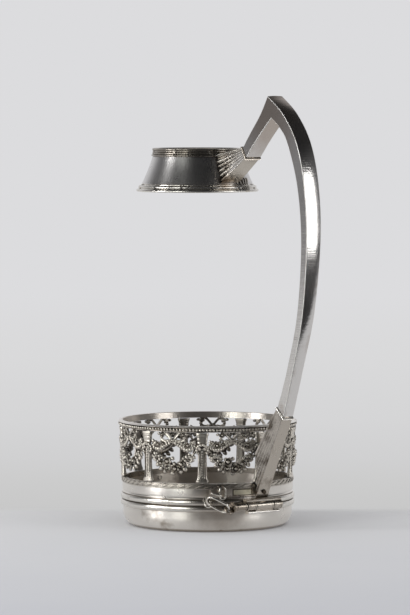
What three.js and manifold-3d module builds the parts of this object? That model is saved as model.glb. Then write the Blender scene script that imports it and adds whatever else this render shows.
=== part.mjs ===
// Silver bottle holder in the Louis XVI manner: a dish with a pierced gallery of columns and garlands,
// and an arched handle that carries a collar for the shoulder of the bottle.
// Millimetres, +Z up. The origin is the middle of the dish's flat underside, the handle stands toward +X.
import * as THREE from "three";
import { mergeVertices } from "three/addons/utils/BufferGeometryUtils.js";
import Module from "manifold-3d";

const wasm = await Module();
wasm.setup();

// Fits
const seat = 0.3; // clearance between two pieces that touch
const toolPast = 5; // how far a cutting tool reaches past what it cuts
const ringSides = 40; // facets round the dish, the band and the rings

// Dish, band and the two reeds between them
const wellRadius = 47; // free radius for the bottle
const sheet = 1.3; // wall of the dish and of the band
const footInset = 6.5; // from the wall to the edge of the flat underside
const cornerHeight = 8;
const floorSheet = 1.4;
const splitZ = 15.25; // where the dish parts from the band
const reedHeight = 3.3;
const reedReach = 1.5;
const reedRound = 0.75;
const reedFlat = 0.28; // share of the height that each rounded edge takes
const bandHeight = 9.3;
const bandSwell = 0.5; // how far the plain face stands out past the split
const stripHeight = 2.8;
const stripReach = 1.1;
const stripBevel = 0.4; // across, at both edges
const stripShoulder = 0.7; // up, at both edges

// Gallery
const places = 9; // eight free columns and one behind the handle
const columnHeight = 28.3;
const columnInset = 0.2; // from the wall's outside to the columns' ring
const columnDepth = 0.42; // depth of a column as a share of its width
const plinthWidth = 7.4;
const plinthHeight = 1.5;
const plinthBevel = 0.5;
const shaftFlare = 0.4; // how much the shaft widens at its foot, to either side
const shaftWidth = 5.2;
const neckWidth = 4.6;
const capitalWidth = 6.6;
const capitalHeight = 6;
const capitalNeck = 0.7; // how deep the waist of the capital is, to either side
const rimHeight = 3.6;
const rimWall = 1.15;
const lipReach = 1.8;
const flangeHeight = 0.4;
const beadSize = 1.9;
const beadGap = 0.2; // round the row, which lies loose between flange and lip

// Garlands, in one bay between two columns
const garlandEndDrop = 6.4; // ends below the rim, at the columns' necks
const garlandDip = 2.0;
const garlandSize = 2.7;
const bowWidth = 15;
const bowHeight = 4.3;
const bowSheet = 1.2;
const ribbonWidth = 1.1;
const knotDrop = 1.4; // of the knot, below the loops of the bow
const knotHalf = 1.6;
const swagEndDrop = 9.6;
const swagBottomDrop = 23;
const swagEndSize = 2.2;
const swagMiddleSize = 5;
const swagFlat = 0.62; // depth of a garland as a share of its height
const galleryLean = 1.1; // how far the columns and bows lean outward, from the strip to the rim

// Handle. Its points are [distance from the back of its foot, height]
const apexPoint = [12.8, 245.1];
const innerPoint = [16.3, 232.4]; // the corner under the apex
const footPoints = [[19.9, 71.7], [25.6, 66.4]]; // the bar's section at the foot clasp, inner corner first
const neckPoints = [[-10, 216.2], [-6.7, 210.3]]; // the same at the neck clasp, upper corner first
const archOuter = [[34.6, 93.4], [43.8, 124.9], [48.4, 163.7], [46.6, 194.4], [39.6, 218.4], [27.2, 234.9]];
const archInner = [[28.6, 93], [38.4, 124.7], [42.8, 163.5], [39.8, 194.2], [30.9, 218.4], [23.3, 227.6]];
const strokeUpper = [[6, 234.8], [-2.9, 224.7]]; // from the apex to the neck, upper edge
const strokeLower = [[0.5, 218], [8.6, 225.7]]; // from the neck to the corner, lower edge
const gripZ = 195; // above this the bar has its full width
const barTopWidth = 10.4;
const barBottomWidth = 6.9;
const claspSheet = 1.3; // thickness of the two mouldings that clasp the bar
const claspProud = 0.8; // past the bar, in the plane of the handle
const claspSide = 0.35; // past the bar, to either side

// Neck collar
const collarOffset = -9.8; // centre of the collar, behind the axis of the dish
const collarBottomZ = 190.1;
const collarTopZ = 215.1;
const collarWall = 1;
const collarFootRadius = 31.6; // of the plain wall, at the skirt
const collarHeadRadius = 25.3; // of the plain wall, at the top moulding
const collarHollow = 0.5; // how far the wall curves in between the two
const collarSkirtReach = 3.5;
const collarSkirtHeight = 4.8;
const skirtRoll = 1.4; // the heavy reed at the foot of the skirt
const skirtTaper = 3.3; // height up to which the skirt narrows to the wall
const collarLipReach = 0.7;
const collarLipHeight = 3.9;
const lipGroove = 0.4;
const neckGussetFoot = 2.8; // how far the gusset's low edge stands off the wall

// Foot of the handle
const footClearance = 1.9; // from the columns' ring to the back of the foot
const footJoinZ = 44.2; // where the foot leaves the gallery
const footTipSheet = 1;
const footTopWidth = 7.2;
const footBottomWidth = 8.2;
const rivetHeight = 22.6;
const rivetRadius = 0.8;
const rivetHeadRadius = 1.3;
const rivetHead = 0.5;
const fluteCount = 5;
const fluteRadius = 0.75;

// Hinge at the foot of the handle, and the catch opposite
const barrelRadius = 2.55;
const barrelStand = 2.8; // from the reeds to the middle of the barrel
const pinRadius = 1.2;
const knuckleMiddle = 12;
const knuckleSide = 5.8;
const leafSheet = 1.6;
const leafReach = 1.1; // of the leaves, past the middle of the barrel
const upperLeafBite = 0.35; // how deep the upper leaf is let into its knuckles
const catchWidth = 8;
const catchSheet = 1.3;
const catchBottomZ = 10.9;

// Hinge pin, drawn out by its disc
const pinGripLength = 8.5;
const pinGripRadius = 2.15;
const pinDiscRadius = 3.2;
const pinDiscSheet = 1;
const eyeGap = 0.35; // how far the eye's wire is let into the disc
const eyeDrop = 1.4; // from the pin's axis down to the eye's middle
const eyeRadius = 2;
const eyeWire = 1.3;

// Chain
const chainAngle = -27.2; // of the staple, from the handle, in degrees
const linkLength = 7.6;
const linkWidth = 4.4;
const linkWire = 1;
const ovalLength = 15;
const ovalWidth = 9.4;
const ovalWire = 1.3;
const stapleSize = 3.6;
const stapleWire = 0.9;
const stapleStudRadius = 1.1;
const staplePost = 0.8;

const polished = { color: 0xd2d0cc, roughness: 0.22, metalness: 1 };
const satin = { color: 0xbdbab4, roughness: 0.4, metalness: 1 };
const oxidised = { color: 0x9a968e, roughness: 0.5, metalness: 1 };

const holder = new THREE.Group();

function place(name, geometry, finish, parent = holder) {
  const mesh = new THREE.Mesh(geometry, new THREE.MeshStandardMaterial(finish));
  mesh.name = name;
  parent.add(mesh);
  return mesh;
}

// A geometry with its shared corners merged
function weld(geometry) {
  const bare = geometry.clone();
  bare.deleteAttribute("normal");
  bare.deleteAttribute("uv");
  return mergeVertices(bare, 1e-4);
}

function toSolid(geometry) {
  const merged = weld(geometry);
  return new wasm.Manifold(
    new wasm.Mesh({
      numProp: 3,
      vertProperties: new Float32Array(merged.attributes.position.array),
      triVerts: new Uint32Array(merged.index.array),
    }),
  );
}

function toGeometry(solid) {
  const mesh = solid.getMesh();
  const geometry = new THREE.BufferGeometry();
  geometry.setAttribute("position", new THREE.BufferAttribute(new Float32Array(mesh.vertProperties), 3));
  geometry.setIndex(new THREE.BufferAttribute(new Uint32Array(mesh.triVerts), 1));
  return geometry;
}

function join(...geometries) {
  return toGeometry(geometries.map(toSolid).reduce((a, b) => a.add(b)));
}

function cut(geometry, ...tools) {
  return toGeometry(tools.map(toSolid).reduce((a, b) => a.subtract(b), toSolid(geometry)));
}

// A body of revolution about Z. The profile runs upward on its outer side, as [radius, height] pairs.
function turned(profile, sides = ringSides) {
  const geometry = new THREE.LatheGeometry(profile.map(([r, z]) => new THREE.Vector2(r, z)), sides);
  geometry.rotateX(Math.PI / 2);
  return geometry;
}

// A ring: the same, closed on itself
function ring(profile, sides = ringSides) {
  return turned([...profile, profile[0]], sides);
}

// A cylinder along Y, from y0 to y1
function rodY(radius, y0, y1, x, z, sides = 16) {
  const geometry = new THREE.CylinderGeometry(radius, radius, y1 - y0, sides);
  geometry.translate(x, (y0 + y1) / 2, z);
  return geometry;
}

// A cylinder along X, from x0 to x1
function rodX(radius, x0, x1, y, z, sides = 12) {
  const geometry = new THREE.CylinderGeometry(radius, radius, x1 - x0, sides);
  geometry.rotateZ(Math.PI / 2);
  geometry.translate((x0 + x1) / 2, y, z);
  return geometry;
}

function block(x0, x1, y0, y1, z0, z1) {
  const geometry = new THREE.BoxGeometry(x1 - x0, y1 - y0, z1 - z0);
  geometry.translate((x0 + x1) / 2, (y0 + y1) / 2, (z0 + z1) / 2);
  return geometry;
}

// A slab whose outline lies in the XZ plane, and whose width along Y follows widthAt(x, z)
function slab(outline, widthAt) {
  const shape = new THREE.Shape(outline.map(([x, z]) => new THREE.Vector2(x, z)));
  const geometry = new THREE.ExtrudeGeometry(shape, { depth: 1, steps: 1, bevelEnabled: false });
  const at = geometry.attributes.position;
  for (let i = 0; i < at.count; i += 1) {
    const x = at.getX(i);
    const z = at.getY(i);
    const side = 0.5 - at.getZ(i);
    at.setXYZ(i, x, side * widthAt(x, z), z);
  }
  return geometry;
}

// A garland of changing size along a curve in the flat bay: x along the rim, y up, z outward
function garland(curve, sizeAt, steps, sides = 8) {
  const geometry = new THREE.CylinderGeometry(1, 1, 1, sides, steps);
  const at = geometry.attributes.position;
  for (let i = 0; i < at.count; i += 1) {
    const t = 0.5 - at.getY(i);
    const middle = curve.getPoint(t);
    const along = curve.getTangent(t);
    const half = sizeAt(t) / 2;
    const across = at.getX(i) * half;
    const outward = at.getZ(i) * half * swagFlat;
    at.setXYZ(i, middle.x - along.y * across, middle.y + along.x * across, outward);
  }
  return geometry;
}

// Bends a flat bay round the gallery, its middle at the given angle, leaning outward to the rim
function wrapped(geometry, angle) {
  const at = geometry.attributes.position;
  for (let i = 0; i < at.count; i += 1) {
    const turn = angle + at.getX(i) / columnRadius;
    const r = columnRadius + at.getZ(i) + (galleryLean * (at.getY(i) - columnBottom)) / columnHeight;
    at.setXYZ(i, r * Math.cos(turn), r * Math.sin(turn), at.getY(i));
  }
  return geometry;
}

// Dish: a raised bowl with a flat underside, open at the top
const wallRadius = wellRadius + sheet;
const dishTop = splitZ - seat / 2;
const bandBottom = splitZ + seat / 2;
const bandTop = bandBottom + bandHeight;
const stripBottom = bandTop + seat;
const stripTop = stripBottom + stripHeight;
const footRadius = wallRadius - footInset;
const columnRadius = wallRadius - columnInset;
const barrelX = wallRadius + reedReach + barrelStand;

function cornerArc(r0, z0, r1, z1, steps) {
  const points = [];
  for (let i = 0; i <= steps; i += 1) {
    const a = (Math.PI / 2) * (i / steps);
    points.push([r0 + (r1 - r0) * Math.sin(a), z1 - (z1 - z0) * Math.cos(a)]);
  }
  return points;
}

place(
  "base_dish",
  turned([
    [0, 0],
    ...cornerArc(footRadius, 0, wallRadius, cornerHeight, 6),
    [wallRadius, dishTop],
    [wellRadius, dishTop],
    ...cornerArc(footRadius - sheet, floorSheet, wellRadius, cornerHeight + floorSheet, 5).reverse(),
    [0, floorSheet],
  ]),
  satin,
);

// Reeds: half-round wires soldered round the dish and the band, either side of the split
function reedProfile(z0) {
  const inner = wallRadius + seat;
  const outer = wallRadius + reedReach;
  return [
    [inner, z0],
    [outer - reedRound, z0],
    [outer, z0 + reedHeight * reedFlat],
    [outer, z0 + reedHeight * (1 - reedFlat)],
    [outer - reedRound, z0 + reedHeight],
    [inner, z0 + reedHeight],
  ];
}

place("dish_reed", ring(reedProfile(dishTop - reedHeight)), polished);
place("band_reed", ring(reedProfile(bandBottom)), polished);

// Band: the upper half of the cylinder, carrying the gallery
const grooveZ = bandBottom + bandHeight * 0.5;
const bandBody = ring([
  [wellRadius, bandBottom],
  [wallRadius, bandBottom],
  [wallRadius, bandBottom + reedHeight + seat],
  [wallRadius + bandSwell, bandBottom + reedHeight + seat],
  [wallRadius + bandSwell / 3, grooveZ],
  [wallRadius + bandSwell, grooveZ + 1],
  [wallRadius + bandSwell, bandTop],
  [wellRadius, bandTop],
]);

// Leaf-and-ribbon strip on the band's top edge
const stripOuter = wallRadius + stripReach;
place(
  "leaf_strip",
  ring([
    [wellRadius + seat, stripBottom],
    [stripOuter - stripBevel, stripBottom],
    [stripOuter, stripBottom + stripShoulder],
    [stripOuter, stripTop - stripShoulder],
    [stripOuter - stripBevel, stripTop],
    [wellRadius + seat, stripTop],
  ]),
  satin,
);

// Columns: cast half-flat, with a plinth, a fluted shaft that swells at the foot, and a capital
const columnBottom = stripTop + seat;
const columnTop = columnBottom + columnHeight;
const column = turned(
  [
    [0, 0],
    [plinthWidth / 2, 0],
    [plinthWidth / 2, plinthHeight],
    [plinthWidth / 2 - plinthBevel, 1.4 * plinthHeight],
    [shaftWidth / 2 + shaftFlare, 2.1 * plinthHeight],
    [shaftWidth / 2, 3.7 * plinthHeight],
    [neckWidth / 2, columnHeight - capitalHeight],
    [capitalWidth / 2 - capitalNeck / 2, columnHeight - 0.87 * capitalHeight],
    [capitalWidth / 2 - capitalNeck, columnHeight - 0.6 * capitalHeight],
    [capitalWidth / 2, columnHeight - capitalHeight / 3],
    [capitalWidth / 2, columnHeight],
    [0, columnHeight],
  ],
  10,
);
column.scale(columnDepth, 1, 1);
column.applyMatrix4(new THREE.Matrix4().makeShear(0, 0, 0, 0, galleryLean / columnHeight, 0));

for (let k = 0; k < places; k += 1) {
  const angle = (2 * Math.PI * k) / places;
  const mesh = place("column_" + (k + 1), column.clone(), oxidised);
  mesh.position.set(columnRadius * Math.cos(angle), columnRadius * Math.sin(angle), columnBottom);
  mesh.rotation.z = angle;
}

// Rim with its row of beads
const rimBottom = columnTop + seat;
const rimTop = rimBottom + rimHeight;
const rimInner = wallRadius;
const beadZ = rimBottom + flangeHeight + beadGap + beadSize / 2;
const beadRing = rimInner + rimWall + beadGap + beadSize / 2;
const lipBottom = beadZ + beadSize / 2 + beadGap;
place(
  "gallery_rim",
  ring([
    [rimInner, rimBottom],
    [rimInner + lipReach, rimBottom],
    [rimInner + lipReach, rimBottom + flangeHeight],
    [rimInner + rimWall, rimBottom + flangeHeight],
    [rimInner + rimWall, lipBottom],
    [rimInner + rimWall + lipReach, lipBottom],
    [rimInner + rimWall + 0.5, rimTop],
    [rimInner + 0.5, rimTop],
  ]),
  polished,
);

const beadFacets = 6;
const beadProfile = [];
for (let i = 0; i < beadFacets; i += 1) {
  const a = (2 * Math.PI * (i + 0.5)) / beadFacets;
  beadProfile.push([beadRing + (beadSize / 2) * Math.cos(a), beadZ + (beadSize / 2) * Math.sin(a)]);
}
place("bead_row", ring(beadProfile), satin);

// Bows and garlands, one set in each of the nine bays
const bayPitch = (2 * Math.PI * columnRadius) / places;
const necklaceHalf = bayPitch / 2 - capitalWidth / 2 - seat;
const swagHalf = bayPitch / 2 - shaftWidth / 2 - swagEndSize / 2 - seat;
const bowTop = columnTop;

function bowOutline() {
  const half = bowWidth / 2;
  const low = bowTop - bowHeight;
  const bow = new THREE.Shape();
  bow.moveTo(-half, bowTop);
  bow.lineTo(-half - 0.4, bowTop - bowHeight * 0.6);
  bow.lineTo(-half + 0.9, low + 0.5);
  bow.lineTo(-knotHalf, low - 0.3);
  bow.lineTo(0, low - knotDrop);
  bow.lineTo(knotHalf, low - 0.3);
  bow.lineTo(half - 0.9, low + 0.5);
  bow.lineTo(half + 0.4, bowTop - bowHeight * 0.6);
  bow.lineTo(half, bowTop);
  bow.closePath();
  for (const side of [-1, 1]) {
    const loop = new THREE.Path();
    loop.moveTo(side * (half - ribbonWidth), bowTop - ribbonWidth);
    loop.lineTo(side * (half - ribbonWidth), low + ribbonWidth + 0.6);
    loop.lineTo(side * 2.1, low + ribbonWidth);
    loop.lineTo(side * 3.6, bowTop - ribbonWidth);
    loop.closePath();
    bow.holes.push(loop);
  }
  const crotch = new THREE.Path();
  crotch.moveTo(-1.9, bowTop - 0.7);
  crotch.lineTo(1.9, bowTop - 0.7);
  crotch.lineTo(0, low + 1.9);
  crotch.closePath();
  bow.holes.push(crotch);
  return bow;
}

const bowPlate = new THREE.ExtrudeGeometry(bowOutline(), { depth: bowSheet, steps: 1, bevelEnabled: false });
bowPlate.translate(0, 0, -bowSheet / 2);
const necklace = garland(
  new THREE.SplineCurve([
    new THREE.Vector2(-necklaceHalf, rimBottom - garlandEndDrop),
    new THREE.Vector2(-necklaceHalf * 0.55, rimBottom - garlandEndDrop - garlandDip),
    new THREE.Vector2(0, rimBottom - garlandEndDrop),
    new THREE.Vector2(necklaceHalf * 0.55, rimBottom - garlandEndDrop - garlandDip),
    new THREE.Vector2(necklaceHalf, rimBottom - garlandEndDrop),
  ]),
  (t) => garlandSize * (0.72 + 0.28 * Math.abs(Math.cos(2 * Math.PI * t))),
  10,
  6,
);
const bow = join(bowPlate, necklace);

const swag = garland(
  new THREE.SplineCurve([
    new THREE.Vector2(-swagHalf, rimBottom - swagEndDrop),
    new THREE.Vector2(-swagHalf * 0.72, rimBottom - swagEndDrop - (swagBottomDrop - swagEndDrop) * 0.55),
    new THREE.Vector2(0, rimBottom - swagBottomDrop + swagMiddleSize / 2),
    new THREE.Vector2(swagHalf * 0.72, rimBottom - swagEndDrop - (swagBottomDrop - swagEndDrop) * 0.55),
    new THREE.Vector2(swagHalf, rimBottom - swagEndDrop),
  ]),
  (t) => swagEndSize + (swagMiddleSize - swagEndSize) * Math.sin(Math.PI * t) ** 2,
  10,
  7,
);

for (let k = 0; k < places; k += 1) {
  const angle = (2 * Math.PI * (k + 0.5)) / places;
  place("bow_" + (k + 1), wrapped(bow.clone(), angle), oxidised);
  place("swag_" + (k + 1), wrapped(swag.clone(), angle), oxidised);
}

// Handle: a square bar that tapers as it comes down, bent to a bow and mitred at the top
const footBack = columnRadius + footClearance;

function fromFoot(points) {
  return points.map(([x, z]) => [footBack + x, z]);
}

const [apex, innerCorner, ...sections] = fromFoot([apexPoint, innerPoint, ...footPoints, ...neckPoints]);
const footCorners = sections.slice(0, 2);
const neckCorners = sections.slice(2);

// Moves the two corners of a section along the bar, toward the clasp and what lies past it
function shifted([first, second], distance) {
  const along = new THREE.Vector2(second[0] - first[0], second[1] - first[1]).normalize();
  return [first, second].map(([x, z]) => [x + along.y * distance, z - along.x * distance]);
}

function sweep(points, steps) {
  return new THREE.SplineCurve(points.map(([x, z]) => new THREE.Vector2(x, z)))
    .getPoints(steps)
    .map((p) => [p.x, p.y]);
}

function barWidth(x, z) {
  const grip = THREE.MathUtils.smoothstep(z, footCorners[1][1], gripZ);
  return barBottomWidth + (barTopWidth - barBottomWidth) * grip;
}

const outerCurve = sweep([footCorners[1], ...fromFoot(archOuter), apex], 22);
const upperCurve = sweep([apex, ...fromFoot(strokeUpper), neckCorners[0]], 4);
const lowerCurve = sweep([neckCorners[1], ...fromFoot(strokeLower), innerCorner], 4);
const innerCurve = sweep([innerCorner, ...fromFoot(archInner).reverse(), footCorners[0]], 20);
place(
  "handle_bar",
  slab([...outerCurve, ...upperCurve.slice(1), ...lowerCurve, ...innerCurve.slice(1)], barWidth),
  polished,
);

// Clasps: flat mouldings that frame the bar where it meets its two gussets
function clasp(corners, width) {
  const [top, low] = shifted(corners, seat);
  const [farTop, farLow] = shifted(corners, seat + claspSheet);
  const along = new THREE.Vector2(low[0] - top[0], low[1] - top[1]).setLength(claspProud);
  return slab(
    [
      [top[0] - along.x, top[1] - along.y],
      [low[0] + along.x, low[1] + along.y],
      [farLow[0] + along.x, farLow[1] + along.y],
      [farTop[0] - along.x, farTop[1] - along.y],
    ],
    () => width,
  );
}

const pastClasp = claspSheet + 2 * seat;
const neckWidthAtClasp = barWidth(...neckCorners[1]);
place("foot_clasp", clasp(footCorners, barWidth(...footCorners[1]) + 2 * claspSide), polished);
place("neck_clasp", clasp(neckCorners, neckWidthAtClasp + 2 * claspSide), polished);

// A tapered round-bottomed groove from one point to another
function flute(from, to, radiusFrom, radiusTo) {
  const start = new THREE.Vector3(...from);
  const end = new THREE.Vector3(...to);
  const way = end.clone().sub(start);
  const geometry = new THREE.CylinderGeometry(radiusTo, radiusFrom, way.length(), 8);
  const upright = new THREE.Vector3(0, 1, 0);
  geometry.applyQuaternion(new THREE.Quaternion().setFromUnitVectors(upright, way.clone().normalize()));
  const middle = start.add(end).multiplyScalar(0.5);
  geometry.translate(middle.x, middle.y, middle.z);
  return geometry;
}

// Grooves that fan over both sides of a gusset, from its clasp end to its far end
function fan(clasped, far, widthNear, widthFar) {
  const grooves = [];
  for (const side of [-1, 1]) {
    for (let i = 0; i < fluteCount; i += 1) {
      const t = (i + 0.5) / fluteCount;
      const near = [0, 1].map((c) => clasped[0][c] + (clasped[1][c] - clasped[0][c]) * t);
      const away = [0, 1].map((c) => far[0][c] + (far[1][c] - far[0][c]) * t);
      grooves.push(
        flute(
          [near[0], (side * widthNear) / 2, near[1]],
          [away[0], (side * widthFar) / 2, away[1]],
          fluteRadius * 0.6,
          fluteRadius,
        ),
      );
    }
  }
  return grooves;
}

// Neck collar: a flared cone for the shoulder of the bottle, moulded at both edges
const skirtTop = collarBottomZ + collarSkirtHeight;
const skirtEdge = 0.4; // of the skirt, past the wall at its top
const lipLow = collarTopZ - collarLipHeight;
const coneBottom = skirtTop + seat;
const coneTop = lipLow - seat;
const collar = new THREE.Group();
collar.position.x = collarOffset;
holder.add(collar);
const coneMiddle = (collarFootRadius + collarHeadRadius) / 2 - collarHollow;
const collarSkirtRadius = collarFootRadius + collarSkirtReach;
const collarLipRadius = collarHeadRadius + collarLipReach;
place(
  "neck_collar",
  ring([
    [collarFootRadius - collarWall, coneBottom],
    [collarFootRadius, coneBottom],
    [coneMiddle, (coneBottom + coneTop) / 2],
    [collarHeadRadius, coneTop],
    [collarHeadRadius - collarWall, coneTop],
    [coneMiddle - collarWall, (coneBottom + coneTop) / 2],
  ]),
  satin,
  collar,
);
place(
  "collar_skirt",
  ring([
    [collarFootRadius - collarWall, collarBottomZ + skirtRoll],
    [collarSkirtRadius - skirtRoll, collarBottomZ],
    [collarSkirtRadius, collarBottomZ],
    [collarSkirtRadius, collarBottomZ + skirtRoll],
    [collarSkirtRadius - skirtRoll, collarBottomZ + skirtTaper],
    [collarFootRadius + skirtEdge, skirtTop],
    [collarFootRadius - collarWall, skirtTop],
  ]),
  polished,
  collar,
);
place(
  "collar_lip",
  ring([
    [collarHeadRadius - collarWall, lipLow],
    [collarLipRadius - lipGroove, lipLow],
    [collarLipRadius, lipLow + collarLipHeight / 4],
    [collarLipRadius - lipGroove, lipLow + collarLipHeight / 2],
    [collarLipRadius, lipLow + (3 * collarLipHeight) / 4],
    [collarLipRadius - lipGroove, collarTopZ],
    [collarHeadRadius - collarWall, collarTopZ],
  ]),
  polished,
  collar,
);

// Neck gusset: a fluted fan between the clasp and the collar, cut to lie on the cone
const neckGussetSpread = 2.4; // how much wider than the bar it is at the collar
const neckGussetLow = [collarOffset + collarFootRadius + neckGussetFoot, skirtTop + 2 * seat];
const neckGussetHigh = [collarOffset + collarHeadRadius, lipLow];
const neckFarWidth = barTopWidth + neckGussetSpread;
const neckNear = shifted(neckCorners, pastClasp);
const aroundCollar = turned([
  [0, collarBottomZ - toolPast],
  [collarSkirtRadius + seat, collarBottomZ - toolPast],
  [collarSkirtRadius + seat, collarBottomZ + skirtRoll],
  [collarFootRadius + seat + skirtEdge, skirtTop + seat],
  [collarFootRadius + seat, skirtTop + seat],
  [collarHeadRadius + seat, coneTop],
  [collarLipRadius + seat, lipLow - seat],
  [collarLipRadius + seat, collarTopZ + toolPast],
  [0, collarTopZ + toolPast],
]);
aroundCollar.translate(collarOffset, 0, 0);
const neckGussetWidth = (x) =>
  THREE.MathUtils.mapLinear(x, neckNear[1][0], neckGussetLow[0], neckWidthAtClasp, neckFarWidth);
place(
  "neck_gusset",
  cut(
    slab(
      [
        neckNear[0],
        neckNear[1],
        neckGussetLow,
        [collarOffset, neckGussetLow[1]],
        [collarOffset, neckGussetHigh[1]],
        neckGussetHigh,
      ],
      (x) => Math.min(neckGussetWidth(x), neckFarWidth),
    ),
    ...fan(neckNear, [neckGussetHigh, neckGussetLow], neckWidthAtClasp, neckFarWidth),
    aroundCollar,
  ),
  satin,
);

// Hinge: two knuckles on the band and one on the dish, side by side just outside the reeds
const barrelHalf = knuckleMiddle / 2 + seat + knuckleSide;
const leafInner = wallRadius + reedReach + seat;
const leafOuter = barrelX + leafReach;
const lowerLeafTop = splitZ - barrelRadius - seat;
const lowerLeafBottom = lowerLeafTop - leafSheet;
const upperLeafBottom = splitZ + barrelRadius - upperLeafBite;
const upperLeafTop = upperLeafBottom + leafSheet;
const pinBore = pinRadius + seat;

function knuckle(y0, y1) {
  const geometry = ring([[pinBore, 0], [barrelRadius, 0], [barrelRadius, y1 - y0], [pinBore, y1 - y0]], 16);
  geometry.rotateX(-Math.PI / 2);
  geometry.translate(barrelX, y0, splitZ);
  return geometry;
}

const sideStart = knuckleMiddle / 2 + seat;
place(
  "hinge_knuckles",
  cut(
    join(
      block(leafInner, leafOuter, -barrelHalf, barrelHalf, upperLeafBottom, upperLeafTop),
      knuckle(-barrelHalf, -sideStart),
      knuckle(sideStart, barrelHalf),
    ),
    rodY(pinBore, -barrelHalf - 1, barrelHalf + 1, barrelX, splitZ),
    rodY(barrelRadius + seat, -sideStart, sideStart, barrelX, splitZ),
  ),
  polished,
);

// The dish's own leaf lies under the barrel and is webbed to the middle knuckle
const webTop = splitZ - pinBore - 0.3;
place(
  "hinge_leaf",
  join(
    block(leafInner, leafOuter, 1 - barrelHalf, barrelHalf - 1, lowerLeafBottom, lowerLeafTop),
    block(leafInner + 0.4, leafOuter, -knuckleMiddle / 2, knuckleMiddle / 2, lowerLeafTop - 0.5, webTop),
    knuckle(-knuckleMiddle / 2, knuckleMiddle / 2),
  ),
  polished,
);

// Catch: a sprung strap that is riveted to the band and grips the dish's reed
const catchInner = leafInner;
const catchOuter = catchInner + catchSheet;
const catchFoot = wallRadius + bandSwell + seat; // where it lies on the band
const catchStepZ = bandBottom + reedHeight + 2 * seat;
const catchTopZ = bandTop - seat;
const rivetHole = rivetRadius + seat;
place(
  "catch_strap",
  cut(
    slab(
      [
        [-catchOuter, catchBottomZ],
        [-catchInner, catchBottomZ],
        [-catchInner, catchStepZ],
        [-catchFoot, catchStepZ],
        [-catchFoot, catchTopZ],
        [-catchOuter, catchTopZ],
      ],
      () => catchWidth,
    ),
    rodX(rivetHole, -catchOuter - toolPast, toolPast - catchFoot, 0, rivetHeight),
  ),
  satin,
);

// Band, with holes for the two rivets
place(
  "band",
  cut(
    bandBody,
    rodX(rivetHole, wellRadius - toolPast, catchFoot + toolPast, 0, rivetHeight),
    rodX(rivetHole, -catchFoot - toolPast, toolPast - wellRadius, 0, rivetHeight),
  ),
  satin,
);

// A rivet from inside the band to the given distance from the axis
function rivet(reach) {
  const start = wellRadius - seat - rivetHead;
  return join(
    rodX(rivetHeadRadius, start, start + rivetHead, 0, rivetHeight),
    rodX(rivetRadius, start, reach, 0, rivetHeight),
    rodX(rivetHeadRadius, reach, reach + rivetHead, 0, rivetHeight),
  );
}

place("catch_rivet", rivet(catchOuter + seat).rotateZ(Math.PI), polished);

// Foot gusset: a long fluted wedge down the gallery to the band
const footBottom = upperLeafTop + seat;
const footNear = shifted(footCorners, pastClasp);
const footWidth = (x, z) =>
  THREE.MathUtils.mapLinear(z, footBottom, footNear[1][1], footBottomWidth, footTopWidth);
// far ends of the outermost flutes, past the back of the foot and above its tip
const footFan = [
  [footBack - 1, footJoinZ - 3],
  [footBack + 1.6, footBottom + 4],
];
const footRivetReach = THREE.MathUtils.mapLinear(
  rivetHeight + rivetHeadRadius,
  footBottom,
  footNear[1][1],
  footBack + footTipSheet,
  footNear[1][0],
);
place(
  "foot_gusset",
  cut(
    slab(
      [
        footNear[0],
        footNear[1],
        [footBack + footTipSheet, footBottom],
        [footBack, footBottom],
        [footBack, footJoinZ],
      ],
      footWidth,
    ),
    ...fan(footNear, footFan, footTopWidth, footBottomWidth),
    rodX(rivetHole, footBack - toolPast, footRivetReach + toolPast, 0, rivetHeight),
  ),
  satin,
);
place("foot_rivet", rivet(footRivetReach + seat), polished);

// Hinge pin: a shank through the three knuckles, a grip, a disc and an eye
const gripStart = -barrelHalf - seat;
const discStart = gripStart - pinGripLength;
const eyeY = discStart - pinDiscSheet - eyeRadius - eyeGap;
const eyePlace = new THREE.Vector3(barrelX, eyeY, splitZ - eyeDrop);
const ovalAlong = new THREE.Vector3(-0.6, -0.66, 0.44).normalize();
const ovalAcross = new THREE.Vector3(-0.77, 0.21, -0.6);
ovalAcross.addScaledVector(ovalAlong, -ovalAcross.dot(ovalAlong)).normalize();

// Turns a link from its own axes (length on X, width on Y) to the given ones, and moves it to its middle
function laid(geometry, along, across, middle) {
  const through = new THREE.Vector3().crossVectors(along, across);
  geometry.applyMatrix4(new THREE.Matrix4().makeBasis(along, across, through));
  geometry.translate(middle.x, middle.y, middle.z);
  return geometry;
}

// A link with straight sides and round ends
function oval(length, width, wire, sides = 6, steps = 16) {
  const geometry = new THREE.TorusGeometry((width - wire) / 2, wire / 2, sides, steps);
  geometry.rotateZ(Math.PI / steps);
  const at = geometry.attributes.position;
  for (let i = 0; i < at.count; i += 1) {
    at.setX(i, at.getX(i) + (Math.sign(at.getX(i)) * (length - width)) / 2);
  }
  return geometry;
}

const eyeThrough = ovalAcross.clone();
eyeThrough.y = 0;
eyeThrough.normalize();
const eyeAcross = new THREE.Vector3().crossVectors(eyeThrough, new THREE.Vector3(0, 1, 0));
const eyeSize = 2 * eyeRadius + eyeWire;
place(
  "hinge_pin",
  join(
    rodY(pinRadius, gripStart - 0.1, barrelHalf - seat, barrelX, splitZ),
    rodY(pinGripRadius, discStart, gripStart, barrelX, splitZ),
    rodY(pinDiscRadius, discStart - pinDiscSheet, discStart + 0.1, barrelX, splitZ),
    laid(oval(eyeSize, eyeSize, eyeWire), new THREE.Vector3(0, 1, 0), eyeAcross, eyePlace),
  ),
  polished,
);
const ovalMiddle = eyePlace.clone().addScaledVector(ovalAlong, (ovalLength - ovalWire) / 2);
const ovalRing = oval(ovalLength, ovalWidth, ovalWire, 6, 24);
place("chain_ring", laid(ovalRing, ovalAlong, ovalAcross, ovalMiddle), polished);

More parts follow.
